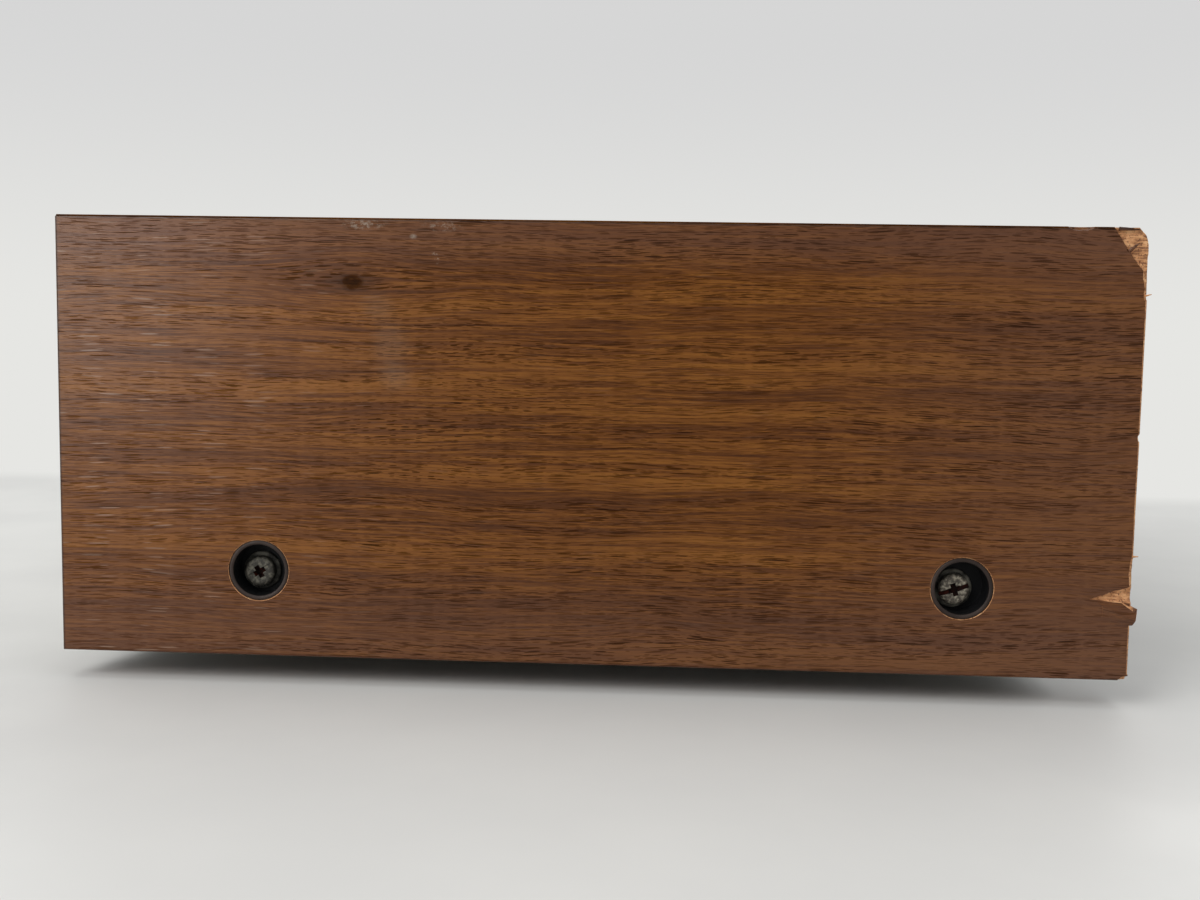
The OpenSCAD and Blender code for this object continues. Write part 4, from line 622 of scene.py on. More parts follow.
            # Darker along the front and top edges of the outer face.
            nearest = sheet.math("MINIMUM", part["Y"], sheet.math("SUBTRACT", self.size[1], part["Z"]))
            edge = sheet.math("MULTIPLY", sheet.range(nearest, 1.3, 0.4, 0.0, 0.75), outer)
            colour = sheet.mix(edge, colour, self.EDGE)
        sheet.feed(shader.inputs["Base Color"], colour)
        shader.inputs["Specular IOR Level"].default_value = self.bare_gloss
        shader.inputs["Coat Roughness"].default_value = self.varnish_roughness
        open_grain = sheet.math("MAXIMUM", grain["Pores"], knot_mask)
        varnish = sheet.range(open_grain, 0.0, 0.7, self.varnish, self.pore_varnish)
        sheet.feed(shader.inputs["Coat Weight"], varnish)
        rough = sheet.range(grain["Tone"], 0.35, 0.65, 0.34, 0.26)
        rough = sheet.math("MULTIPLY_ADD", grain["Pores"], 0.2, rough)
        sheet.feed(shader.inputs["Roughness"], sheet.math("MULTIPLY_ADD", glints, -0.1, rough))
        raised = sheet.math("MULTIPLY", grain["Fibre"], 0.5)
        height = sheet.math("MULTIPLY_ADD", grain["Pores"], -0.8, raised)
        sheet.feed(shader.inputs["Normal"], sheet.bump(height, 0.35, 0.00012))

    def draw_marks(self, sheet: Sheet, board: bpy.types.NodeSocket, colour: bpy.types.NodeSocket,
                   ) -> bpy.types.NodeSocket:
        """Add the pale residue near the top edge and the hazy scuffs.

        Args:
            sheet: Where they are drawn.
            board: The place on the board, in millimetres.
            colour: The veneer's colour so far.

        Returns:
            The colour with the marks on it.
        """
        crumbs = sheet.noise(sheet.mapped(board, (0.5, 0.5, 0.8)), detail=5, roughness=0.75)
        for centre, reach, low, high, most in self.MARKS:
            mask = sheet.math("MULTIPLY", self.spot(sheet, board, centre, reach, 0.2, 1.0),
                              sheet.range(crumbs, low, high, 0.0, most))
            colour = sheet.mix(mask, colour, self.RESIDUE)
        return colour


def shape_of(node: str) -> bmesh.types.BMesh:
    """A copy of a CAD node's mesh, with its loose triangles merged into whole faces."""
    shape = bmesh.new()
    shape.from_mesh(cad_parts[node].data)
    bmesh.ops.remove_doubles(shape, verts=shape.verts, dist=MERGE)
    bmesh.ops.dissolve_limit(shape, angle_limit=math.radians(0.5), verts=shape.verts, edges=shape.edges)
    return shape


def ease(shape: bmesh.types.BMesh, width: float,
         chosen: Callable[[bmesh.types.BMEdge], bool] | None = None, segments: int = 2,
         sharper_than: float = 30.0) -> None:
    """Round the sharp edges of a shape.

    Args:
        shape: What is rounded.
        width: How far the rounding reaches from each edge.
        chosen: Says which of the sharp edges are rounded, if not all of them.
        segments: How many faces go round.
        sharper_than: The least angle of an edge that counts as sharp, in degrees.
    """
    least = math.radians(sharper_than)
    edges = [e for e in shape.edges if e.is_manifold and e.calc_face_angle(0.0) > least]
    if chosen:
        edges = [e for e in edges if chosen(e)]
    bmesh.ops.bevel(shape, geom=edges, offset=width, offset_type="OFFSET", segments=segments, profile=0.5,
                    affect="EDGES", clamp_overlap=True, material=-1)


def lathe(outline: list[tuple[float, float]], steps: int) -> bmesh.types.BMesh:
    """A turned shape round the Z axis.

    Args:
        outline: Points (radius, height) from one end of the axis to the other.
        steps: How many facets go round.

    Returns:
        The closed shape, with its faces pointing out.
    """
    shape = bmesh.new()
    points = [shape.verts.new((radius, 0.0, height)) for radius, height in outline]
    edges = [shape.edges.new(pair) for pair in zip(points, points[1:])]
    bmesh.ops.spin(shape, geom=points + edges, cent=(0, 0, 0), axis=(0, 0, 1), angle=2 * math.pi,
                   steps=steps, use_merge=True)
    bmesh.ops.remove_doubles(shape, verts=shape.verts, dist=MERGE)
    bmesh.ops.recalc_face_normals(shape, faces=shape.faces)
    return shape


def join(target: bmesh.types.BMesh, part: bmesh.types.BMesh, matrix: Matrix,
         slot: int | None = None) -> None:
    """Put one shape into another.

    Args:
        target: What takes the part in.
        part: What is put in. It is freed.
        matrix: Where the part goes.
        slot: The material slot of its faces, if they don't keep their own.
    """
    bmesh.ops.transform(part, matrix=matrix, verts=part.verts)
    if slot is not None:
        for face in part.faces:
            face.material_index = slot
    mesh = bpy.data.meshes.new("part")
    part.to_mesh(mesh)
    part.free()
    target.from_mesh(mesh)
    bpy.data.meshes.remove(mesh)


def solid(shape: bmesh.types.BMesh, name: str, materials: list[bpy.types.Material] | None = None,
          ) -> bpy.types.Object:
    """Make an object of a shape.

    Args:
        shape: The shape. It is freed.
        name: The object's name.
        materials: Its materials, by slot.

    Returns:
        The object, at the origin.
    """
    mesh = bpy.data.meshes.new(name)
    for material in materials or []:
        mesh.materials.append(material)
    shape.to_mesh(mesh)
    shape.free()
    item = bpy.data.objects.new(name, mesh)
    bpy.context.scene.collection.objects.link(item)
    return item


def carve(item: bpy.types.Object, cutter: bmesh.types.BMesh, crossing: bool = False) -> None:
    """Cut a shape out of an object, and keep the cutter's material slots on the cut faces.

    Args:
        item: What is cut.
        cutter: What is taken out of it. It is freed.
        crossing: Whether parts of the cutter run through each other.
    """
    tool = solid(cutter, "cutter", list(item.data.materials))
    cut = item.modifiers.new("cut", "BOOLEAN")
    cut.operation = "DIFFERENCE"
    cut.solver = "EXACT"
    cut.use_self = crossing
    cut.object = tool
    view = bpy.context.evaluated_depsgraph_get()
    result = bpy.data.meshes.new_from_object(item.evaluated_get(view))
    item.modifiers.remove(cut)
    spent = item.data
    item.data = result
    bpy.data.meshes.remove(spent)
    bpy.data.meshes.remove(tool.data)


@dataclass
class Workshop:
    """Holds the finishes, and turns shapes into pieces of the object."""

    finishes: dict[str, bpy.types.Material] = field(default_factory=dict)

    def prepare(self, finishes: dict[str, Finish]) -> None:
        """Make a material of each finish."""
        for name, finish in finishes.items():
            self.finishes[name] = finish.material()

    def make(self, shape: bmesh.types.BMesh, name: str, *looks: str) -> bpy.types.Object:
        """Make an object of a shape with these finishes, by material slot."""
        return solid(shape, name, [self.finishes[look] for look in looks])

    def dress(self, item: bpy.types.Object, body: str, slot: str = "", stands_for: str = "",
              smooth_under: float = 32.0) -> bpy.types.Object:
        """Smooth an object, give it its body, and report it.

        Args:
            item: The object.
            body: The CAD body that it rides on.
            slot: The record's material slot, if it has one. It is not used.
            stands_for: The CAD node that it replaces, if any.
            smooth_under: Edges flatter than this many degrees are shaded smooth.

        Returns:
            The object.
        """
        item.data.shade_smooth()
        item.data.set_sharp_from_angle(angle=math.radians(smooth_under))
        even = item.modifiers.new("even_normals", "WEIGHTED_NORMAL")
        even.keep_sharp = True
        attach(item, body)
        if stands_for:
            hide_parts(stands_for)
        log.info("piece %s on %s, %d faces", item.name, body, len(item.data.polygons))
        return item

    def eased(self, node: str, body: str, slot: str, width: float, name: str) -> None:
        """Build and dress a copy of a CAD node with its edges eased.

        Args:
            node: The CAD node.
            body: The CAD body that it rides on.
            slot: The record's material slot, which is also its finish.
            width: How far the easing reaches.
            name: The new piece's name.
        """
        shape = shape_of(node)
        ease(shape, width, segments=3)
        self.dress(self.make(shape, name, slot), body, slot, node)

    def dress_nodes(self) -> None:
        """Give every CAD node that still shows the finish of its material slot."""
        for name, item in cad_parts.items():
            if item.hide_render:
                continue
            for holder in item.material_slots:
                holder.material = self.finishes[holder.material.name.split(".")[0]]
            log.info("node %s", name)


class ChipForm(Enum):
    """The outline of a broken place."""

    LUMP = "lump"
    BLOCK = "block"
    LEAF = "leaf"


@dataclass(frozen=True)
class Chip:
    """A broken place on the outer face of a side board, in millimetres.

    It lies at (along, up) from the front lower corner, and proud is how far its middle lies off the face.
    """

    along: float
    up: float
    reach: tuple[float, float, float]
    form: ChipForm = ChipForm.LUMP
    turn: float = 0.0
    slant: float = 0.0
    proud: float = 0.4
    rough: float = 0.25
    bare: bool = True
    seed: int = 1

    def cutter(self, corner: Vector) -> bmesh.types.BMesh:
        """Make what is cut out of the board.

        Args:
            corner: The front lower corner of the board's outer face.

        Returns:
            The cutter, in place, in millimetres.
        """
        shape = bmesh.new()
        if self.form is ChipForm.BLOCK:
            bmesh.ops.create_cube(shape, size=2.0)
            bmesh.ops.subdivide_edges(shape, edges=shape.edges, cuts=11, use_grid_fill=True)
        else:
            bmesh.ops.create_icosphere(shape, subdivisions=4, radius=1.0)
        away = Vector((self.seed * 7.3, self.seed * 3.1, self.seed * 1.7))
        size = Vector((self.reach[2], self.reach[0], self.reach[1]))
        for vert in shape.verts:
            x, y, z = vert.co
            sample = Vector((x * size.x, y * size.y * 0.5, z * size.z)) * 0.9 + away
            push = noise.fractal(sample, 1.0, 2.0, 4)
            if self.form is ChipForm.LEAF:
                vert.co.z *= max(0.02, 1.0 - abs(min(vert.co.y, 0.0))) ** 0.6
            bump = vert.co.normalized() * push * self.rough
            vert.co = Vector((c * s + b for c, s, b in zip(vert.co, size, bump)))
        slant = Matrix.Rotation(math.radians(self.slant), 4, "Z")
        turn = Matrix.Rotation(math.radians(self.turn), 4, "X") @ slant
        place = corner / MM + Vector((self.proud, self.along, self.up))
        bmesh.ops.transform(shape, matrix=Matrix.Translation(place) @ turn, verts=shape.verts)
        return shape


@dataclass
class Sleeve:
    """The walnut sleeve: two side boards and a top board, with the damage of the right-hand one."""

    workshop: Workshop
    edge_round: float = 0.0009
    slot_round: float = 0.0005
    flap_thick: float = 0.0012
    hole_chamfer: float = 0.00025
    rim_steps: int = 72
    split_height: float = 130.0

    # Rows of (along, up, proud) in millimetres: the flap's upper edge, its ridge and its crease.
    FLAP_ROWS: ClassVar[tuple[tuple, ...]] = (
        ((319.6, 24.6, 0.0), (326.9, 24.0, 0.35), (331.3, 20.9, 1.0)),
        ((321.3, 22.9, 0.25), (326.0, 20.9, 1.25), (330.9, 18.9, 1.7)),
        ((321.8, 19.6, 0.02), (326.3, 16.9, 0.02), (330.5, 17.2, 0.3)))
    # How far its back is shifted at the rear edge, along and up, and how ragged it is.
    FLAP_BACK: ClassVar[tuple[float, float, float]] = (0.6, 1.2, 0.4)
    # Each sliver's name and finish, its thick and thin ends in the same way, and its thickness.
    SLIVERS: ClassVar[tuple[tuple, ...]] = (
        ("upper_sliver", "raw_wood", (328.4, 115.7, -0.6), (331.0, 116.5, 0.1), 0.32),
        ("middle_sliver", "raw_wood", (326.6, 38.3, -0.9), (331.3, 38.2, -0.1), 0.75),
        ("veneer_strip", "walnut_right", (321.0, 135.6, -0.7), (327.2, 135.4, -0.5), 0.6),
        ("veneer_curl", "walnut_right", (324.1, 129.0, -0.5), (326.6, 131.5, 0.5), 0.6))

    def chips(self) -> list[Chip]:
        """The broken places of the right side board."""
        block, leaf = ChipForm.BLOCK, ChipForm.LEAF
        return [
            Chip(331.5, 134.6, (9.2, 12.0, 2.0), block, 35.0, proud=0.6, rough=0.5, seed=2),
            Chip(330.6, 136.5, (2.6, 3.8, 9.0), block, 41.5, slant=-11.0, proud=-3.0, rough=0.3, seed=3),
            Chip(332.6, 132.8, (2.6, 3.4, 9.0), block, 17.0, slant=-11.0, proud=-3.0, rough=0.3, seed=16),
            Chip(324.5, 129.6, (1.5, 0.9, 1.2), bare=False, seed=18),
            Chip(-1.06, 137.06, (3.0, 2.0, 4.0), block, 45.0, proud=0.0, rough=0.05, bare=False, seed=20),
            Chip(330.0, 66.0, (0.42, 64.0, 0.42), block, slant=45.0, proud=0.0, rough=0.22, seed=4),
            Chip(330.2, 121.3, (1.25, 6.6, 1.25), block, 3.5, slant=45.0, proud=0.1, rough=0.4, seed=19),
            Chip(330.0, 123.6, (1.5, 2.8, 1.6), seed=5),
            Chip(330.2, 119.0, (1.4, 1.7, 1.5), seed=6),
            Chip(330.1, 115.9, (1.2, 1.3, 1.2), seed=7),
            Chip(330.3, 73.9, (1.2, 1.3, 2.4), seed=8),
            Chip(330.5, 92.0, (0.9, 2.6, 1.3), seed=9),
            Chip(330.5, 52.0, (0.8, 3.4, 1.2), seed=10),
            Chip(310.0, 136.4, (4.3, 1.7, 2.2), bare=False, seed=11),
            Chip(330.8, 26.5, (13.4, 2.7, 1.8), leaf, 7.0, proud=0.25, rough=0.3, seed=12),
            Chip(330.3, 33.0, (1.6, 6.0, 1.7), seed=13),
            Chip(330.4, -0.2, (3.4, 1.9, 3.0), seed=14),
            Chip(330.4, 10.5, (0.8, 2.5, 1.2), seed=15),
        ]

    def side(self, node: str, name: str, look: str, chips: list[Chip]) -> None:
        """Build and dress one side board.

        Args:
            node: The CAD node of the board.
            name: The new piece's name.
            look: The name of its veneer's finish.
            chips: Its broken places.
        """
        low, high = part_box(node)
        outer = high.x if high.x > 0 else low.x
        shape = shape_of(node)

        def outside(edge: bmesh.types.BMEdge) -> bool:
            """Whether an edge bounds the board's outer face, off its rear edge."""
            ends = [vert.co for vert in edge.verts]
            straight = (ends[0] - ends[1]).length > 0.05
            at_face = all(abs(end.x - outer) < MERGE for end in ends)
            return straight and at_face and not all(abs(end.y - high.y) < MERGE for end in ends)

        ease(shape, self.edge_round, outside, segments=4)
        bmesh.ops.scale(shape, vec=(1 / MM, 1 / MM, 1 / MM), verts=shape.verts)
        item = self.workshop.make(shape, name, look, "raw_wood")
        self.break_edges(item, chips, self.hole_rims(outer))
        item.data.transform(Matrix.Scale(MM, 4))
        self.workshop.dress(item, CHASSIS, "walnut", node)

    def break_edges(self, item: bpy.types.Object, chips: list[Chip],
                    rims: list[bmesh.types.BMesh]) -> None:
        """Cut the broken places out of a board that is in millimetres.

        Args:
            item: The board.
            chips: Its broken places.
            rims: The cutters of its hole rims.
        """
        broken = bmesh.new()
        for chip in chips:
            join(broken, chip.cutter(self.corner()), Matrix(), slot=1 if chip.bare else 0)
        for rim in rims:
            join(broken, rim, Matrix(), slot=1)
        carve(item, broken, crossing=True)

    def hole_rims(self, outer: float) -> list[bmesh.types.BMesh]:
        """The bare chamfers round the two ferrule holes of a side board.

        Args:
            outer: Where the board's outer face is on the X axis.

        Returns:
            Their cutters, in millimetres.
        """
        low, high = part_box("case_ferrules")
        radius = (high.z - low.z) / 2
        depth = self.hole_chamfer
        outline = [(0.0, -depth), (radius, -depth), (radius + 2 * depth, depth), (0.0, depth)]
        way = Matrix.Rotation(math.radians(90 if outer > 0 else -90), 4, "Y")
        cutters = []
        for y in (low.y + radius, high.y - radius):
            cutter = lathe(outline, self.rim_steps)
            place = Matrix.Translation((outer, y, (low.z + high.z) / 2))
            bmesh.ops.transform(cutter, matrix=Matrix.Scale(1 / MM, 4) @ place @ way, verts=cutter.verts)
            cutters.append(cutter)
        return cutters

    def top(self) -> None:
        """Build and dress the top board, with its vent slots eased and its broken corner."""
        shape = shape_of("top_board")
        ease(shape, self.slot_round, segments=2)
        bmesh.ops.scale(shape, vec=(1 / MM, 1 / MM, 1 / MM), verts=shape.verts)
        item = self.workshop.make(shape, "veneered_top_board", "walnut_top", "raw_wood")
        self.break_edges(item, [chip for chip in self.chips() if chip.up > self.split_height], [])
        item.data.transform(Matrix.Scale(MM, 4))
        self.workshop.dress(item, CHASSIS, "walnut", "top_board")

    def corner(self) -> Vector:
        """The front lower corner of the right side board's outer face."""
        low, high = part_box("right_side_board")
        return Vector((high.x, low.y, low.z))

    def flap(self) -> None:
        """Build the flap of veneer that stands off below the split, and the slivers at the rear edge."""
        corner, rows = self.corner(), self.FLAP_ROWS
        shape = bmesh.new()
        bmesh.ops.create_grid(shape, x_segments=2, y_segments=2, size=1.0)
        for vert in shape.verts:
            along, up, lift = rows[1 - round(vert.co.y)][round(vert.co.x) + 1]
            vert.co = corner + Vector((lift, along, up)) * MM
        bmesh.ops.subdivide_edges(shape, edges=shape.edges, cuts=3, use_grid_fill=True)
        pushed = bmesh.ops.extrude_face_region(shape, geom=shape.faces[:])
        moved = [g for g in pushed["geom"] if isinstance(g, bmesh.types.BMVert)]
        tip, root = rows[0][0][0], rows[0][-1][0]
        back, rise, ragged = self.FLAP_BACK
        for vert in moved:
            share = ((vert.co.y - corner.y) / MM - tip) / (root - tip)
            up = rise + noise.noise(vert.co / MM * 0.8) * ragged
            vert.co += Vector((-self.flap_thick / MM, back * share, up * share)) * MM
        bmesh.ops.recalc_face_normals(shape, faces=shape.faces)
        for side in shape.faces:
            side.material_index = 0 if side.normal.x > 0.7 else 1
        item = self.workshop.make(shape, "lifted_veneer_flap", "walnut_right", "raw_wood")
        self.workshop.dress(item, CHASSIS, "walnut")
        for name, look, start, end, thick in self.SLIVERS:
            self.sliver(name, look, Vector(start), Vector(end), thick)

    def sliver(self, name: str, look: str, start: Vector, end: Vector, thick: float) -> None:
        """Build one thin sliver of torn wood.

        Args:
            name: The piece's name.
            look: Its finish.
            start: Its thick end as (along, up, proud), in millimetres.
            end: Its thin end.
            thick: Its thickness at the thick end, in millimetres.
        """
        corner = self.corner()
        ends = [corner + Vector((p.z, p.x, p.y)) * MM for p in (start, end)]
        line = ends[1] - ends[0]
        shape = bmesh.new()
        bmesh.ops.create_cone(shape, cap_ends=True, segments=7, radius1=thick * MM, radius2=0.12 * MM,
                              depth=line.length)
        long_edges = [e for e in shape.edges if abs(e.verts[0].co.z - e.verts[1].co.z) > line.length / 2]
        bmesh.ops.subdivide_edges(shape, edges=long_edges, cuts=6)
        for vert in shape.verts:
            wobble = noise.noise_vector(vert.co / MM * 0.9 + corner / MM)
            vert.co += Vector((wobble.x, wobble.y, 0.0)) * thick * MM * 0.45
        turn = line.to_track_quat("Z", "X").to_matrix().to_4x4()
        middle = (ends[0] + ends[1]) / 2
        bmesh.ops.transform(shape, matrix=Matrix.Translation(middle) @ turn, verts=shape.verts)
        self.workshop.dress(self.workshop.make(shape, name, look), CHASSIS, "walnut")

    def build(self) -> None:
        """Build the whole sleeve."""
        self.side("right_side_board", "worn_right_board", "walnut_right", self.chips())
        self.side("left_side_board", "veneered_left_board", "walnut_left", [])
        self.top()
        self.flap()


@dataclass
class CaseFixings:
    """The dark ferrules in the side boards and the cabinet screws that sit deep in them."""

    workshop: Workshop
    rim: float = 0.0013
    lip_round: float = 0.00045
    cup_floor: float = 0.0085
    cup_depth: float = 0.0105
    cup_hole: float = 0.0038
    head_radius: float = 0.0047
    head_height: float = 0.003
    washer_thick: float = 0.001
    washer_gap: float = 0.0004
    shank: float = 0.0022
    shank_length: float = 0.0104
    recess_depth: float = 0.0016
    slot_width: float = 0.0013
    slot_angles: tuple[float, float] = (30.0, 18.0)
    slot_share: float = 0.55
    filled_share: float = 0.12
    steps: int = 64
    shank_steps: int = 24

    def placed(self, x: float, y: float, z: float, turn: float = 0.0) -> Matrix:
        """A place on a side board whose local +Z points out of the board, turned round that axis."""
        out = Matrix.Rotation(math.radians(90 if x > 0 else -90), 4, "Y")
        return Matrix.Translation((x, y, z)) @ out @ Matrix.Rotation(math.radians(turn), 4, "Z")

    def ferrules(self) -> None:
        """Build the four ferrules, with rounded lips."""
        low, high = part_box("case_ferrules")
        outer = (high.z - low.z) / 2
        inner = outer - self.rim
        hole, cup_floor, depth = self.cup_hole, -self.cup_floor, -self.cup_depth
        shape = bmesh.new()
        lip = self.lip_round
        outline = [(hole, cup_floor), (inner, cup_floor), (inner, -lip)]
        for index in range(1, 6):
            angle = math.pi * index / 6
            middle = (inner + outer) / 2
            outline.append((middle - math.cos(angle) * self.rim / 2, -lip + math.sin(angle) * lip))
        outline += [(outer, -lip), (outer, depth), (hole, depth), (hole, cup_floor)]
        for x in (low.x, high.x):
            for y in (low.y + outer, high.y - outer):
                cup = lathe(outline, self.steps)
                # Faces inside the cup take a darker finish that paints the shade of the deep cup.
                for face in cup.faces:
                    face.material_index = 1 if face.calc_center_median().z < -lip else 0
                join(shape, cup, self.placed(x, y, (low.z + high.z) / 2))
        item = self.workshop.make(shape, "ferrule_cups", "ferrule_plastic", "cup_painted_shade")
        self.workshop.dress(item, CHASSIS, "ferrule_plastic", "case_ferrules")

    def head(self, radius: float, height: float) -> bmesh.types.BMesh:
        """A pan head on its washer, standing on z = 0.

        Args:
            radius: Radius of the head.
            height: Height of the head.

        Returns:
            The head, without its recess.
        """
        crown = height * 0.35
        outline = [(0.0, 0.0), (radius * 0.97, 0.0), (radius, crown * 0.3)]
        for index in range(7):
            angle = math.pi / 2 * index / 6
            rise = crown * math.sin(angle)
            outline.append((radius * (0.72 + 0.28 * math.cos(angle)), height - crown + rise))
        outline.append((0.0, height + crown * 0.05))
        return lathe(outline, self.steps)

    def recess(self, radius: float, top: float, filled: bool) -> list[bmesh.types.BMesh]:
        """The driver slot and the cross recess of a combination head.

        Args:
            radius: Radius of the head.
            top: Height of the head's crown.
            filled: Whether grime fills most of the slot.

        Returns:
            The cutters: a slot right across and a tapered cross.
        """
        cutters = []
        cross = (radius * 1.1, self.slot_width * 1.4)
        for length, width, turn in ((radius * 2.2, self.slot_width, 0.0), (*cross, 0.0), (*cross, 90.0)):
            shape = bmesh.new()
            bmesh.ops.create_cube(shape, size=1.0)
            bmesh.ops.scale(shape, vec=(length, width, 2 * self.recess_depth), verts=shape.verts)
            if length < radius * 2:
                low_verts = [v for v in shape.verts if v.co.z < 0]
                bmesh.ops.scale(shape, vec=(0.45, 0.7, 1.35), verts=low_verts)
            else:
                share = self.filled_share if filled else self.slot_share
                bmesh.ops.scale(shape, vec=(1, 1, share), verts=shape.verts)
            matrix = Matrix.Translation((0, 0, top)) @ Matrix.Rotation(math.radians(turn), 4, "Z")
            bmesh.ops.transform(shape, matrix=matrix, verts=shape.verts)
            for face in shape.faces:
                face.material_index = 0 if filled and length > radius * 2 else 1
            cutters.append(shape)
        return cutters

    def screws(self) -> None:
        """Build the four cabinet screws with their washers."""
        low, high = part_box("case_screws")
        washer, z = (high.z - low.z) / 2, (low.z + high.z) / 2
        looks = ("dull_steel", "rust", "grimy_washer", "grimy_steel")
        hole, thick, shank = self.shank + self.washer_gap, self.washer_thick, self.shank
        rounding, tip = thick * 0.3, -self.shank_length
        ring = [(hole, 0.0), (washer, 0.0), (washer, thick - rounding), (washer - rounding, thick),
                (hole, thick), (hole, 0.0)]
        core = [(0.0, tip), (shank * 0.6, tip), (shank, tip + shank * 0.4), (shank, 0.0), (0.0, 0.0)]
        whole = bmesh.new()
        for x in (low.x, high.x):
            seat = x - math.copysign(self.head_height, x)
            for y, angle in zip((low.y + washer, high.y - washer), self.slot_angles):
                blank = self.head(self.head_radius, self.head_height)
                item = self.workshop.make(blank, "screw_head", *looks)
                for cutter in self.recess(self.head_radius, self.head_height, filled=y < 0):
                    carve(item, cutter)
                head = bmesh.new()
                head.from_mesh(item.data)
                bpy.data.meshes.remove(item.data)
                for face in head.faces:
                    if face.material_index == 0 and y < 0:
                        face.material_index = 3
                join(whole, head, self.placed(seat, y, z, 90 + angle))
                washer_seat = seat - math.copysign(thick, x)
                join(whole, lathe(ring, self.steps), self.placed(washer_seat, y, z), slot=2)
                join(whole, lathe(core, self.shank_steps), self.placed(seat, y, z))
        item = self.workshop.make(whole, "cabinet_screws", *looks)
        self.workshop.dress(item, CHASSIS, "dull_steel", "case_screws")

    def build(self) -> None:
        """Build the ferrules and the screws."""
        self.ferrules()
        self.screws()


@dataclass
class Knob:
    """A turned aluminium knob with a knurled grip and a dark pointer line."""

    workshop: Workshop
    node: str
    body: str
    pointer: float
    wall: float = 0.003
    hub_radius: float = 0.006
    cup_height: float = 0.004
    skirt_height: float = 0.0025
    waist: float = 0.0008
    chamfer: float = 0.0012
    rim: float = 0.002
    dish: float = 0.0008
    knurl_pitch: float = 0.0011
    knurl_depth: float = 0.00022
    line_width: float = 0.0014
    line_length: float = 0.009
    line_depth: float = 0.0005
    edge_break: float = 0.0002

    def outline(self, radius: float, height: float) -> list[tuple[float, float]]:
        """The knob's profile from the middle of its rear to the middle of its face.

        Args:
            radius: Radius of the skirt.
            height: Height of the knob.

        Returns:
            Points (radius, height).
        """
        grip = radius - self.waist
        top = grip - self.chamfer
        rounded, broken = self.chamfer * 0.35, self.edge_break
        return [(0.0, 0.0), (self.hub_radius, 0.0), (self.hub_radius, self.cup_height),
                (radius - self.wall, self.cup_height), (radius - self.wall, 0.0), (radius - broken, 0.0),
                (radius, broken), (radius, self.skirt_height - broken),
                (radius - broken, self.skirt_height), (grip, self.skirt_height + self.waist),
                (grip, self.skirt_height + self.waist * 2), (grip, height - self.chamfer - rounded),
                (grip - rounded * 0.3, height - self.chamfer), (top + rounded, height - rounded),
                (top, height), (top - self.rim, height), (top - self.rim - self.dish, height - self.dish),
                (0.0, height - self.dish)]

    def build(self) -> None:
        """Build the knob and dress it."""
        low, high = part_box(self.node)
        radius, height = (high.x - low.x) / 2, high.y - low.y
        flutes = round(2 * math.pi * radius / self.knurl_pitch)
        shape = lathe(self.outline(radius, height), flutes * 2)
        grip = radius - self.waist
        from_z, to_z = self.skirt_height + self.waist * 1.5, height - self.chamfer * 0.9
        pressed = []
        for vert in shape.verts:
            step = round(math.atan2(vert.co.y, vert.co.x) / math.pi * flutes)
            on_grip = math.hypot(vert.co.x, vert.co.y) > grip - self.chamfer * 0.2
            if step % 2 and on_grip and from_z < vert.co.z < to_z:
                pressed.append(vert)
        shrink = (grip - self.knurl_depth) / grip
        bmesh.ops.scale(shape, vec=(shrink, shrink, 1.0), verts=pressed)
        item = self.workshop.make(shape, self.node + "_turned", "knob_aluminium", "panel_ink")
        carve(item, self.line(grip - self.chamfer, height))
        turn = Matrix.Rotation(math.radians(-self.pointer), 4, "Z")
        place = Matrix.Translation(((low.x + high.x) / 2, high.y, (low.z + high.z) / 2))
        item.data.transform(place @ Matrix.Rotation(math.radians(90), 4, "X") @ turn)
        self.workshop.dress(item, self.body, "knob_aluminium", self.node)

    def line(self, top: float, height: float) -> bmesh.types.BMesh:
        """The cutter of the pointer line.

        Args:
            top: Radius of the knob's face.
            height: Height of the knob.

        Returns:
            The cutter, in the second material slot.
        """
        cutter = bmesh.new()
        bmesh.ops.create_cube(cutter, size=1.0)
        depth = self.dish + self.line_depth
        bmesh.ops.scale(cutter, vec=(self.line_width, self.line_length, 2 * depth), verts=cutter.verts)
        ease(cutter, self.line_width * 0.2,
             lambda edge: abs(edge.verts[0].co.z - edge.verts[1].co.z) > depth)
        middle = top - self.line_length / 2 - self.rim * 0.3
        bmesh.ops.translate(cutter, vec=(0, middle, height), verts=cutter.verts)
        for face in cutter.faces:
            face.material_index = 1
        return cutter


@dataclass
class FrontControls:
    """Everything that is worked from the front, and the panel that it sits on."""

    workshop: Workshop
    lever_round: float = 0.0005
    panel_round: float = 0.0004

    LEVERS: ClassVar[dict[str, str]] = {
        "loudness_lever": "loudness_switch", "low_filter_lever": "low_filter_switch",
        "high_filter_lever": "high_filter_switch", "tape_lever": "tape_switch",
        "mode_lever": "mode_switch"}
    # How far each knob's pointer is turned at rest, clockwise from the top, in degrees.
    KNOBS: ClassVar[dict[str, float]] = {
        "volume": -60.0, "balance": 0.0, "bass": 0.0, "treble": 0.0, "selector": -30.0, "speaker": -15.0}

    def build(self) -> None:
        """Build the panel, the knobs, the levers and the button."""
        eased = self.workshop.eased
        eased("front_panel", CHASSIS, "panel_aluminium", self.panel_round, "front_panel_plate")
        for name, pointer in self.KNOBS.items():
            Knob(self.workshop, f"{name}_knob", f"{name}_control", pointer).build()
        for node, body in self.LEVERS.items():
            eased(node, body, "knob_aluminium", self.lever_round, node + "_bat")
        eased("power_button", "power_push", "knob_aluminium", self.lever_round, "power_button_cap")


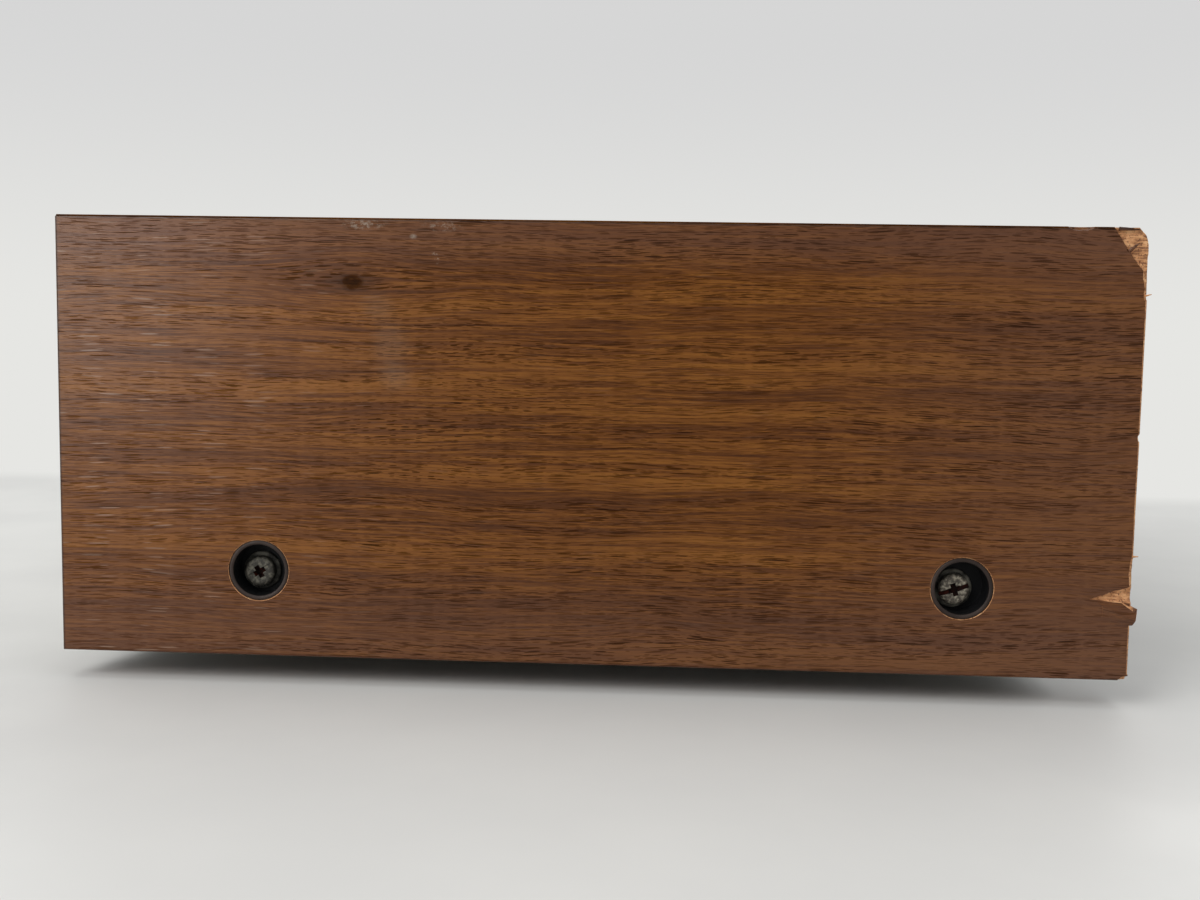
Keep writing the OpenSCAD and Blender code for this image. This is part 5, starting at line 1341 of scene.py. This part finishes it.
@dataclass
class Outside:
    """The rubber feet, and the plastic parts at the rear."""

    workshop: Workshop
    foot_round: float = 0.001
    plastic_round: float = 0.0004

    def build(self) -> None:
        """Build the feet and the rear's plastic parts."""
        eased = self.workshop.eased
        eased("feet", CHASSIS, "foot_rubber", self.foot_round, "rubber_feet")
        eased("fuse_cap", "fuse_cover", "black_plastic", self.plastic_round, "fuse_cap_moulded")
        eased("speaker_terminals", CHASSIS, "black_phenolic", self.plastic_round, "terminal_strip")


@dataclass
class Print:
    """Ink on a flat panel: dial ticks, numbers and plain words."""

    workshop: Workshop
    name: str
    look: str
    face_y: float
    out: int
    thick: float = 0.00003
    tick_width: float = 0.0005
    tick_length: float = 0.0024
    label_gap: float = 0.0026
    ink: bmesh.types.BMesh = field(default_factory=bmesh.new)

    def place(self, x: float, z: float) -> Matrix:
        """Where a mark goes that is drawn flat, so that it reads right from outside."""
        turn = Matrix.Rotation(math.radians(90), 4, "X")
        if self.out > 0:
            turn = Matrix.Rotation(math.radians(180), 4, "Z") @ turn
        return Matrix.Translation((x, self.face_y + self.out * self.thick, z)) @ turn

    def word(self, text: str, x: float, z: float, height: float) -> None:
        """Write a word.

        Args:
            text: What it says.
            x: Its middle.
            z: Its middle.
            height: Height of its letters.
        """
        curve = bpy.data.curves.new("word", "FONT")
        curve.body = text
        curve.size = height * 1.4
        curve.align_x, curve.align_y = "CENTER", "CENTER"
        curve.resolution_u = 3
        item = bpy.data.objects.new("word", curve)
        bpy.context.scene.collection.objects.link(item)
        view = bpy.context.evaluated_depsgraph_get()
        mesh = bpy.data.meshes.new_from_object(item.evaluated_get(view))
        bpy.data.curves.remove(curve)
        letters = bmesh.new()
        letters.from_mesh(mesh)
        bpy.data.meshes.remove(mesh)
        join(self.ink, letters, self.place(x, z))

    def bar(self, x: float, z: float, width: float, length: float, turn: float = 0.0,
            off: float = 0.0) -> None:
        """Draw a bar.

        Args:
            x: The middle that it is turned about.
            z: The middle that it is turned about.
            width: Its width.
            length: Its length.
            turn: How far it is turned clockwise from upright, in degrees.
            off: How far out from the middle it lies.
        """
        mark = bmesh.new()
        bmesh.ops.create_grid(mark, x_segments=1, y_segments=1, size=0.5)
        bmesh.ops.scale(mark, vec=(width, length, 1), verts=mark.verts)
        bmesh.ops.translate(mark, vec=(0, off, 0), verts=mark.verts)
        join(self.ink, mark, self.place(x, z) @ Matrix.Rotation(math.radians(-turn), 4, "Z"))

    def dial(self, node: str, angles: list[float], labels: list[str], gap: float, height: float) -> None:
        """Draw ticks and labels round a knob.

        Args:
            node: The knob's CAD node.
            angles: Where the ticks are, clockwise from the top, in degrees.
            labels: What stands outside each tick.
            gap: How far the ticks start from the knob.
            height: Height of the labels.
        """
        low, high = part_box(node)
        x, z, radius = (low.x + high.x) / 2, (low.z + high.z) / 2, (high.x - low.x) / 2 + gap
        for angle, label in zip(angles, labels):
            self.bar(x, z, self.tick_width, self.tick_length, angle, radius + self.tick_length / 2)
            reach = radius + self.label_gap + height
            across, up = math.sin(math.radians(angle)), math.cos(math.radians(angle))
            self.word(label, x + across * reach, z + up * reach, height)

    def finish(self) -> None:
        """Make the ink one piece."""
        self.workshop.dress(self.workshop.make(self.ink, self.name, self.look), CHASSIS)


@dataclass
class Markings:
    """The print on the front and rear panels and the coloured rings of the phono jacks."""

    workshop: Workshop
    text_height: float = 0.0025
    ring_width: float = 0.0012
    ring_thick: float = 0.0007
    ring_steps: int = 40
    jack_columns: int = 5
    jack_row_pitch: float = 0.019
    terminals: int = 8
    volume_gap: float = 0.0015
    knob_gap: float = 0.0012
    lever_rise: float = 0.0065
    lever_word_gap: float = 0.0135
    button_word_gap: float = 0.0125
    rule_width: float = 0.0004
    rule_drop: float = 0.012
    rule_margin: float = 0.01

    def front(self) -> None:
        """Print the front panel."""
        low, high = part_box("front_panel")
        ink = Print(self.workshop, "front_panel_ink", "panel_ink", low.y, -1)
        tenths = [-150 + 30 * step for step in range(11)]
        size, gap = self.text_height, self.knob_gap
        ink.dial("volume_knob", tenths, [str(step) for step in range(11)], self.volume_gap, size)
        for name in ("balance", "bass", "treble"):
            labels = [str(abs(step)) if step % 5 == 0 else "" for step in range(-5, 6)]
            ink.dial(f"{name}_knob", tenths, labels, gap, size)
        ink.dial("selector_knob", [-60 + 30 * step for step in range(5)], list("12345"), gap, size)
        ink.dial("speaker_knob", [-45 + 30 * step for step in range(4)], list("0123"), gap, size)
        button_low, button_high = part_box("power_button")
        for node in FrontControls.LEVERS:
            lever_low, lever_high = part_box(node)
            x, z = (lever_low.x + lever_high.x) / 2, button_low.z + self.lever_rise
            ink.word("ON", x, z + self.lever_word_gap, size)
            ink.word("OFF", x, z - self.lever_word_gap, size)
        x, z = (button_low.x + button_high.x) / 2, (button_low.z + button_high.z) / 2
        ink.word("ON", x, z + self.button_word_gap, size)
        ink.word("OFF", x, z - self.button_word_gap, size)
        length = high.x - low.x - 2 * self.rule_margin
        ink.bar(0.0, (z + high.z) / 2 - self.rule_drop, length, self.rule_width)
        ink.finish()

    def rear(self) -> None:
        """Print the rear panel, and put a coloured ring round each phono jack."""
        low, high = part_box("input_jacks")
        board_low, board_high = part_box("jack_board")
        strip_low, strip_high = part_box("speaker_terminals")
        ink = Print(self.workshop, "rear_panel_ink", "rear_ink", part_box("rear_panel")[1].y, 1)
        radius = (high.z - low.z - self.jack_row_pitch) / 2
        pitch = (high.x - low.x - 2 * radius) / (self.jack_columns - 1)
        rows = (("left_rings", "left_ring", high.z - radius),
                ("right_rings", "right_ring", low.z + radius))
        outer, thick = radius + self.ring_width, self.ring_thick
        outline = [(radius, 0.0), (outer, 0.0), (outer, thick * 0.7),
                   (radius + self.ring_width * 0.8, thick), (radius, thick), (radius, 0.0)]
        outward = Matrix.Rotation(math.radians(-90), 4, "X")
        for name, look, z in rows:
            rings = bmesh.new()
            for column in range(self.jack_columns):
                place = Matrix.Translation((low.x + radius + column * pitch, board_high.y, z))
                join(rings, lathe(outline, self.ring_steps), place @ outward)
            self.workshop.dress(self.workshop.make(rings, name, look), CHASSIS)
        for column in range(self.jack_columns):
            ink.word(str(self.jack_columns - column), low.x + radius + column * pitch,
                     board_high.z + 2 * self.text_height, self.text_height)
        for letter, (_, _, z) in zip("LR", rows):
            ink.word(letter, board_low.x - 2 * self.text_height, z, self.text_height)
        screws_low, screws_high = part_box("terminal_screws")
        half = (screws_high.z - screws_low.z) / 2
        first = screws_low.x + half * 0.73
        step = (strip_high.x + strip_low.x - 2 * first) / (self.terminals - 1)
        for index in range(self.terminals):
            sign = "+" if index % 2 == 0 else "-"
            ink.word(sign, first + index * step, strip_high.z + 1.6 * self.text_height,
                     self.text_height * 1.2)
        ink.finish()

    def build(self) -> None:
        """Build all the markings."""
        self.front()
        self.rear()


@dataclass(frozen=True)
class Softbox:
    """A soft lamp with a flat face."""

    name: str
    place: tuple[float, float, float]
    aim: tuple[float, float, float]
    size: tuple[float, float]
    power: float
    only_gloss: bool = False

    def hang(self) -> None:
        """Put the lamp in its place, facing its aim."""
        data = bpy.data.lights.new(self.name, "AREA")
        data.shape = "RECTANGLE"
        data.size, data.size_y = self.size
        data.energy = self.power
        item = bpy.data.objects.new(self.name, data)
        bpy.context.scene.collection.objects.link(item)
        way = Vector(self.aim) - Vector(self.place)
        turn = way.to_track_quat("-Z", "Y").to_matrix().to_4x4()
        item.matrix_world = Matrix.Translation(self.place) @ turn
        if self.only_gloss:
            item.visible_diffuse = False
            item.visible_camera = False


@dataclass
class Studio:
    """The plain floor, the soft light and the camera at the photograph's angle."""

    floor_colour: Colour = tone(219, 218, 214)
    worn_colour: Colour = tone(205, 204, 201)
    wall_low: Colour = tone(230, 230, 227)
    wall_high: Colour = tone(214, 214, 214)
    around_low: Colour = tone(150, 152, 154)
    around_high: Colour = tone(212, 214, 216)
    eye: tuple[float, float, float] = (0.59157, 0.03018, 0.10870)
    yaw: float = 92.823
    pitch: float = -4.904
    roll: float = 0.972
    focal_pixels: float = 1258.0
    frame_width: float = 1200.0
    sensor: float = 36.0
    floor_size: float = 12.0
    floor_gloss: float = 0.2
    table_end: float = -0.3
    table_fade: float = 0.08
    table_reach: tuple[float, float] = (0.8, 1.9)
    # Where the floor gets its gloss, and where it turns dark in the board's reflection.
    gloss_across: tuple[float, float] = (0.12, 0.36)
    dim_across: tuple[float, float] = (0.35, 0.75)
    dim_front: tuple[float, float] = (-0.35, -0.1)
    dim_rear: tuple[float, float] = (0.45, 0.2)
    # The way from the board to the camera, and how far round it the mirrored wall is dark.
    eye_way: tuple[float, float, float] = (1.0, 0.06, -0.08)
    dark_round_eye: tuple[float, float] = (0.2, 0.62)
    # The mirrored wall is brighter towards the front, as (start, end, share at each).
    window_across: tuple[float, float, float, float] = (0.3, -0.75, 0.8, 1.3)

    LAMPS: ClassVar[tuple[Softbox, ...]] = (
        Softbox("overhead", (-0.15, -0.05, 1.5), (0.1, 0.0, 0.05), (1.5, 1.5), 7.0),
        Softbox("front_left", (1.15, -0.8, 0.9), (0.21, 0.0, 0.08), (0.8, 0.8), 10.5),
        Softbox("rear_fill", (-1.3, 0.9, 0.8), (0.0, 0.05, 0.07), (1.0, 1.0), 4.0),
        # The sheen on the board's front end comes from a strip too low to shine on the top.
        Softbox("sheen", (1.13, -0.77, 0.17), (0.21, -0.16, 0.1), (0.6, 0.24), 2.9, only_gloss=True))

    def camera(self) -> None:
        """Place the camera."""
        data = bpy.data.cameras.new("camera")
        data.sensor_width = self.sensor
        data.lens = self.sensor * self.focal_pixels / self.frame_width
        data.clip_start = 0.01
        item = bpy.data.objects.new("camera", data)
        bpy.context.scene.collection.objects.link(item)
        turn = (Matrix.Rotation(math.radians(self.yaw), 4, "Z")
                @ Matrix.Rotation(math.radians(90 + self.pitch), 4, "X")
                @ Matrix.Rotation(math.radians(self.roll), 4, "Z"))
        item.matrix_world = Matrix.Translation(self.eye) @ turn
        bpy.context.scene.camera = item

    def floor(self) -> None:
        """Lay the pale floor, a little paler past the table's end and clear when seen from below."""
        shape = bmesh.new()
        bmesh.ops.create_grid(shape, x_segments=2, y_segments=2, size=self.floor_size)
        item = solid(shape, "floor")
        material = bpy.data.materials.new("floor")
        material.use_nodes = True
        sheet = Sheet(material.node_tree)
        shader = material.node_tree.nodes["Principled BSDF"]
        part = sheet.add("SeparateXYZ", {0: sheet.place()}).outputs
        across = part["X"]
        cloud = sheet.noise(sheet.place(), scale=9, detail=4)
        near = sheet.mix(sheet.range(cloud, 0.3, 0.7, 0.0, 0.5), self.floor_colour, self.worn_colour)
        distance = sheet.add("VectorMath", {0: sheet.place()}, operation="LENGTH").outputs["Value"]
        past = sheet.range(across, self.table_end, self.table_end - self.table_fade)
        past = sheet.math("MAXIMUM", past, sheet.range(distance, *self.table_reach))
        gloss = sheet.math("MULTIPLY", sheet.range(past, 0.0, 0.5, self.floor_gloss, 0.0),
                           sheet.range(across, *self.gloss_across))
        sheet.feed(shader.inputs["Specular IOR Level"], gloss)
        glossy = sheet.add("LightPath").outputs["Is Glossy Ray"]
        dim = sheet.math("MULTIPLY", glossy, sheet.range(across, *self.dim_across))
        dim = sheet.math("MULTIPLY", dim, sheet.range(part["Y"], *self.dim_front))
        dim = sheet.math("MULTIPLY", dim, sheet.range(part["Y"], *self.dim_rear))
        dark = (0.0, 0.0, 0.0, 1.0)
        sheet.feed(shader.inputs["Base Color"], sheet.mix(sheet.math("MAXIMUM", past, dim), near, dark))
        shader.inputs["Emission Color"].default_value = self.wall_low
        sheet.feed(shader.inputs["Emission Strength"], past)
        sheet.feed(shader.inputs["Roughness"], sheet.range(cloud, 0.3, 0.7, 0.42, 0.55))
        below = sheet.add("NewGeometry").outputs["Backfacing"]
        clear = sheet.add("BsdfTransparent").outputs[0]
        surface = sheet.add("MixShader", {0: below, 1: shader.outputs[0], 2: clear}).outputs[0]
        sheet.feed(material.node_tree.nodes["Material Output"].inputs["Surface"], surface)
        item.data.materials.append(material)

    def world(self) -> None:
        """Light the surroundings softly, and show a pale wall to the camera and in reflections."""
        world = bpy.data.worlds.new("studio")
        bpy.context.scene.world = world
        world.use_nodes = True
        sheet = Sheet(world.node_tree)
        ground = world.node_tree.nodes["Background"]
        ray = sheet.add("LightPath").outputs
        way = sheet.add("TexCoord").outputs["Generated"]
        part = sheet.add("SeparateXYZ", {0: way}).outputs
        from_eye = sheet.vector_math("SUBTRACT", way, self.eye_way)
        apart = sheet.add("VectorMath", {0: from_eye}, operation="LENGTH").outputs["Value"]
        room = sheet.range(apart, *self.dark_round_eye, 0.01, 1.0)
        window = sheet.range(part["Y"], *self.window_across)
        seen = sheet.mix(sheet.range(part["Z"], 0.0, 0.24), self.wall_low, self.wall_high)
        mirrored = sheet.vector_math("MULTIPLY", seen, sheet.add("CombineXYZ", {
            axis: sheet.math("MULTIPLY", room, window) for axis in "XYZ"}).outputs[0])
        shown = sheet.mix(ray["Is Camera Ray"], mirrored, seen)
        clear = sheet.math("MAXIMUM", ray["Is Camera Ray"], ray["Is Glossy Ray"])
        clear = sheet.math("MAXIMUM", clear, ray["Is Transmission Ray"])
        around = sheet.mix(sheet.range(part["Z"], 0.05, 0.6), self.around_low, self.around_high)
        sheet.feed(ground.inputs["Color"], sheet.mix(clear, around, shown))
        ground.inputs["Strength"].default_value = 1.0

    def build(self) -> None:
        """Set up the whole studio."""
        scene = bpy.context.scene
        scene.view_settings.view_transform = "Standard"
        self.camera()
        self.floor()
        self.world()
        for lamp in self.LAMPS:
            lamp.hang()


def finishes() -> dict[str, Finish]:
    """The finish of each of the record's material slots, and of the pieces made here."""
    low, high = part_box("right_side_board")
    left_low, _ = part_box("left_side_board")
    side_size = ((high.y - low.y) / MM, (high.z - low.z) / MM)
    along_x, along_z = (60.0, 2500.0, 2500.0), (2500.0, 2500.0, 60.0)
    steel, zinc = tone(150, 148, 144), tone(176, 176, 170)
    listed = [
        Walnut("walnut_right", (high.x, low.y, low.z), (0.0, 0.0, 0.0), side_size, marked=True),
        Walnut("walnut_left", tuple(left_low), (310.0, 95.0, 40.0), side_size, knot=(211.0, 38.0)),
        Walnut("walnut_top", tuple(left_low), (620.0, 40.0, 83.0), side_size, knot=(260.0, 500.0),
               side=False),
        RawWood("raw_wood", tone(234, 184, 134), tone(200, 142, 94), tone(100, 58, 36)),
        RawWood("softwood", tone(206, 176, 128), tone(182, 146, 98), tone(140, 104, 66),
                (300.0, 9.0, 420.0), 0.1, 0.0),
        Metal("screen_steel", tone(74, 74, 76), tone(44, 42, 40), 0.45, dust=0.5),
        Moulded("ferrule_plastic", tone(44, 35, 31), tone(70, 58, 52), 0.5, variation=0.6, dust=0.06,
                gloss=0.2),
        # The same plastic inside the ferrule cups, darkened as painted shade.
        Moulded("cup_painted_shade", tone(17, 17, 18), tone(30, 30, 31), 0.5, dust=0.0, gloss=0.12),
        Metal("dull_steel", tone(62, 55, 49), tone(176, 168, 150), 0.5, tarnished=0.8, metallic=0.3,
              dust=0.0, patches=950.0, gloss=0.3),
        Metal("grimy_steel", tone(44, 41, 37), tone(124, 120, 107), 0.55, tarnished=0.65, metallic=0.25,
              dust=0.0, patches=850.0, gloss=0.3),
        Metal("grimy_washer", tone(24, 23, 21), tone(140, 136, 124), 0.6, tarnished=0.75, metallic=0.1,
              dust=0.0, patches=240.0, gloss=0.15),
        Metal("rust", tone(20, 13, 11), tone(64, 26, 18), 0.8, tarnished=0.9, metallic=0.0, dust=0.0,
              patches=700.0, gloss=0.1),
        Metal("zinc_steel", zinc, tone(140, 138, 130), 0.36, along_x, tarnished=0.2),
        Moulded("rear_paint", tone(52, 52, 54), tone(74, 73, 72), 0.5, grain=1400.0, grain_depth=0.00005),
        Metal("panel_aluminium", tone(205, 204, 200), tone(172, 170, 164), 0.3, along_x, tarnished=0.07,
              dust=0.1),
        Moulded("foot_rubber", tone(28, 28, 29), tone(58, 57, 55), 0.75, grain=1100.0, grain_depth=0.00008),
        Metal("screw_zinc", tone(166, 164, 156), tone(112, 106, 94), 0.34, tarnished=0.5),
        Metal("core_iron", tone(92, 88, 84), tone(58, 52, 48), 0.5, along_z, tarnished=0.6, dust=0.4),
        Wound("winding", tone(150, 112, 58), tone(96, 58, 24)),
        Moulded("cover_paint", tone(30, 30, 31), tone(64, 62, 60), 0.42),
        Moulded("capacitor_sleeve", tone(34, 58, 92), tone(58, 80, 110), 0.32, variation=0.2),
        Metal("sink_anodised", tone(38, 38, 40), tone(66, 65, 64), 0.42, along_z, tarnished=0.3,
              metallic=0.8),
        Metal("transistor_can", tone(190, 188, 182), tone(136, 130, 120), 0.26, tarnished=0.3),
        Moulded("phenolic_board", tone(138, 98, 52), tone(108, 72, 36), 0.4, grain=500.0),
        Assorted("component_plastic", (tone(166, 130, 84), tone(44, 40, 38), tone(120, 62, 34),
                                       tone(60, 84, 112))),
        Moulded("nylon", tone(222, 216, 200), tone(190, 180, 160), 0.4),
        Metal("control_metal", tone(178, 174, 164), tone(128, 122, 108), 0.34, tarnished=0.4),
        Moulded("wafer_phenolic", tone(132, 84, 44), tone(94, 58, 30), 0.45),
        Metal("nut_nickel", tone(196, 190, 176), tone(148, 138, 118), 0.24, tarnished=0.3),
        Moulded("black_plastic", tone(26, 26, 27), tone(56, 55, 54), 0.38),
        Clear("lamp_glass", tone(236, 232, 220)),
        Clear("lens_red", tone(196, 34, 24), 0.12),
        Metal("knob_aluminium", tone(206, 205, 202), tone(166, 163, 156), 0.26, tarnished=0.07, dust=0.08),
        Metal("shaft_steel", steel, tone(104, 98, 90), 0.3, tarnished=0.35),
        Moulded("black_phenolic", tone(30, 27, 25), tone(58, 52, 48), 0.42),
        Metal("jack_nickel", tone(200, 194, 182), tone(138, 126, 104), 0.26, tarnished=0.45),
        Assorted("wire_sleeve", (tone(140, 36, 30), tone(40, 40, 42), tone(186, 160, 60),
                                 tone(196, 192, 184), tone(52, 92, 60), tone(48, 74, 130))),
        Moulded("panel_ink", tone(30, 30, 32), tone(52, 52, 52), 0.55, dust=0.0),
        Moulded("rear_ink", tone(206, 204, 196), tone(170, 166, 156), 0.55, dust=0.1),
        Moulded("left_ring", tone(214, 208, 194), tone(180, 172, 156), 0.4, dust=0.2),
        Moulded("right_ring", tone(150, 40, 34), tone(110, 34, 30), 0.4, dust=0.2),
    ]
    return {finish.name: finish for finish in listed}


def main() -> None:
    """Build the studio and every piece of the amplifier in order."""
    logging.basicConfig(level=logging.INFO, format="%(name)s: %(message)s")
    # Without a seed, the wobble of the slivers would differ from run to run.
    noise.seed_set(NOISE_SEED)
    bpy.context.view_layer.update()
    for draw in (draw_wood_grain, draw_worn_edges, draw_mottle, draw_brushing, draw_dust):
        draw()
    Studio().build()
    workshop = Workshop()
    workshop.prepare(finishes())
    Sleeve(workshop).build()
    CaseFixings(workshop).build()
    FrontControls(workshop).build()
    Outside(workshop).build()
    Markings(workshop).build()
    workshop.dress_nodes()


if __name__ == "__main__":
    main()
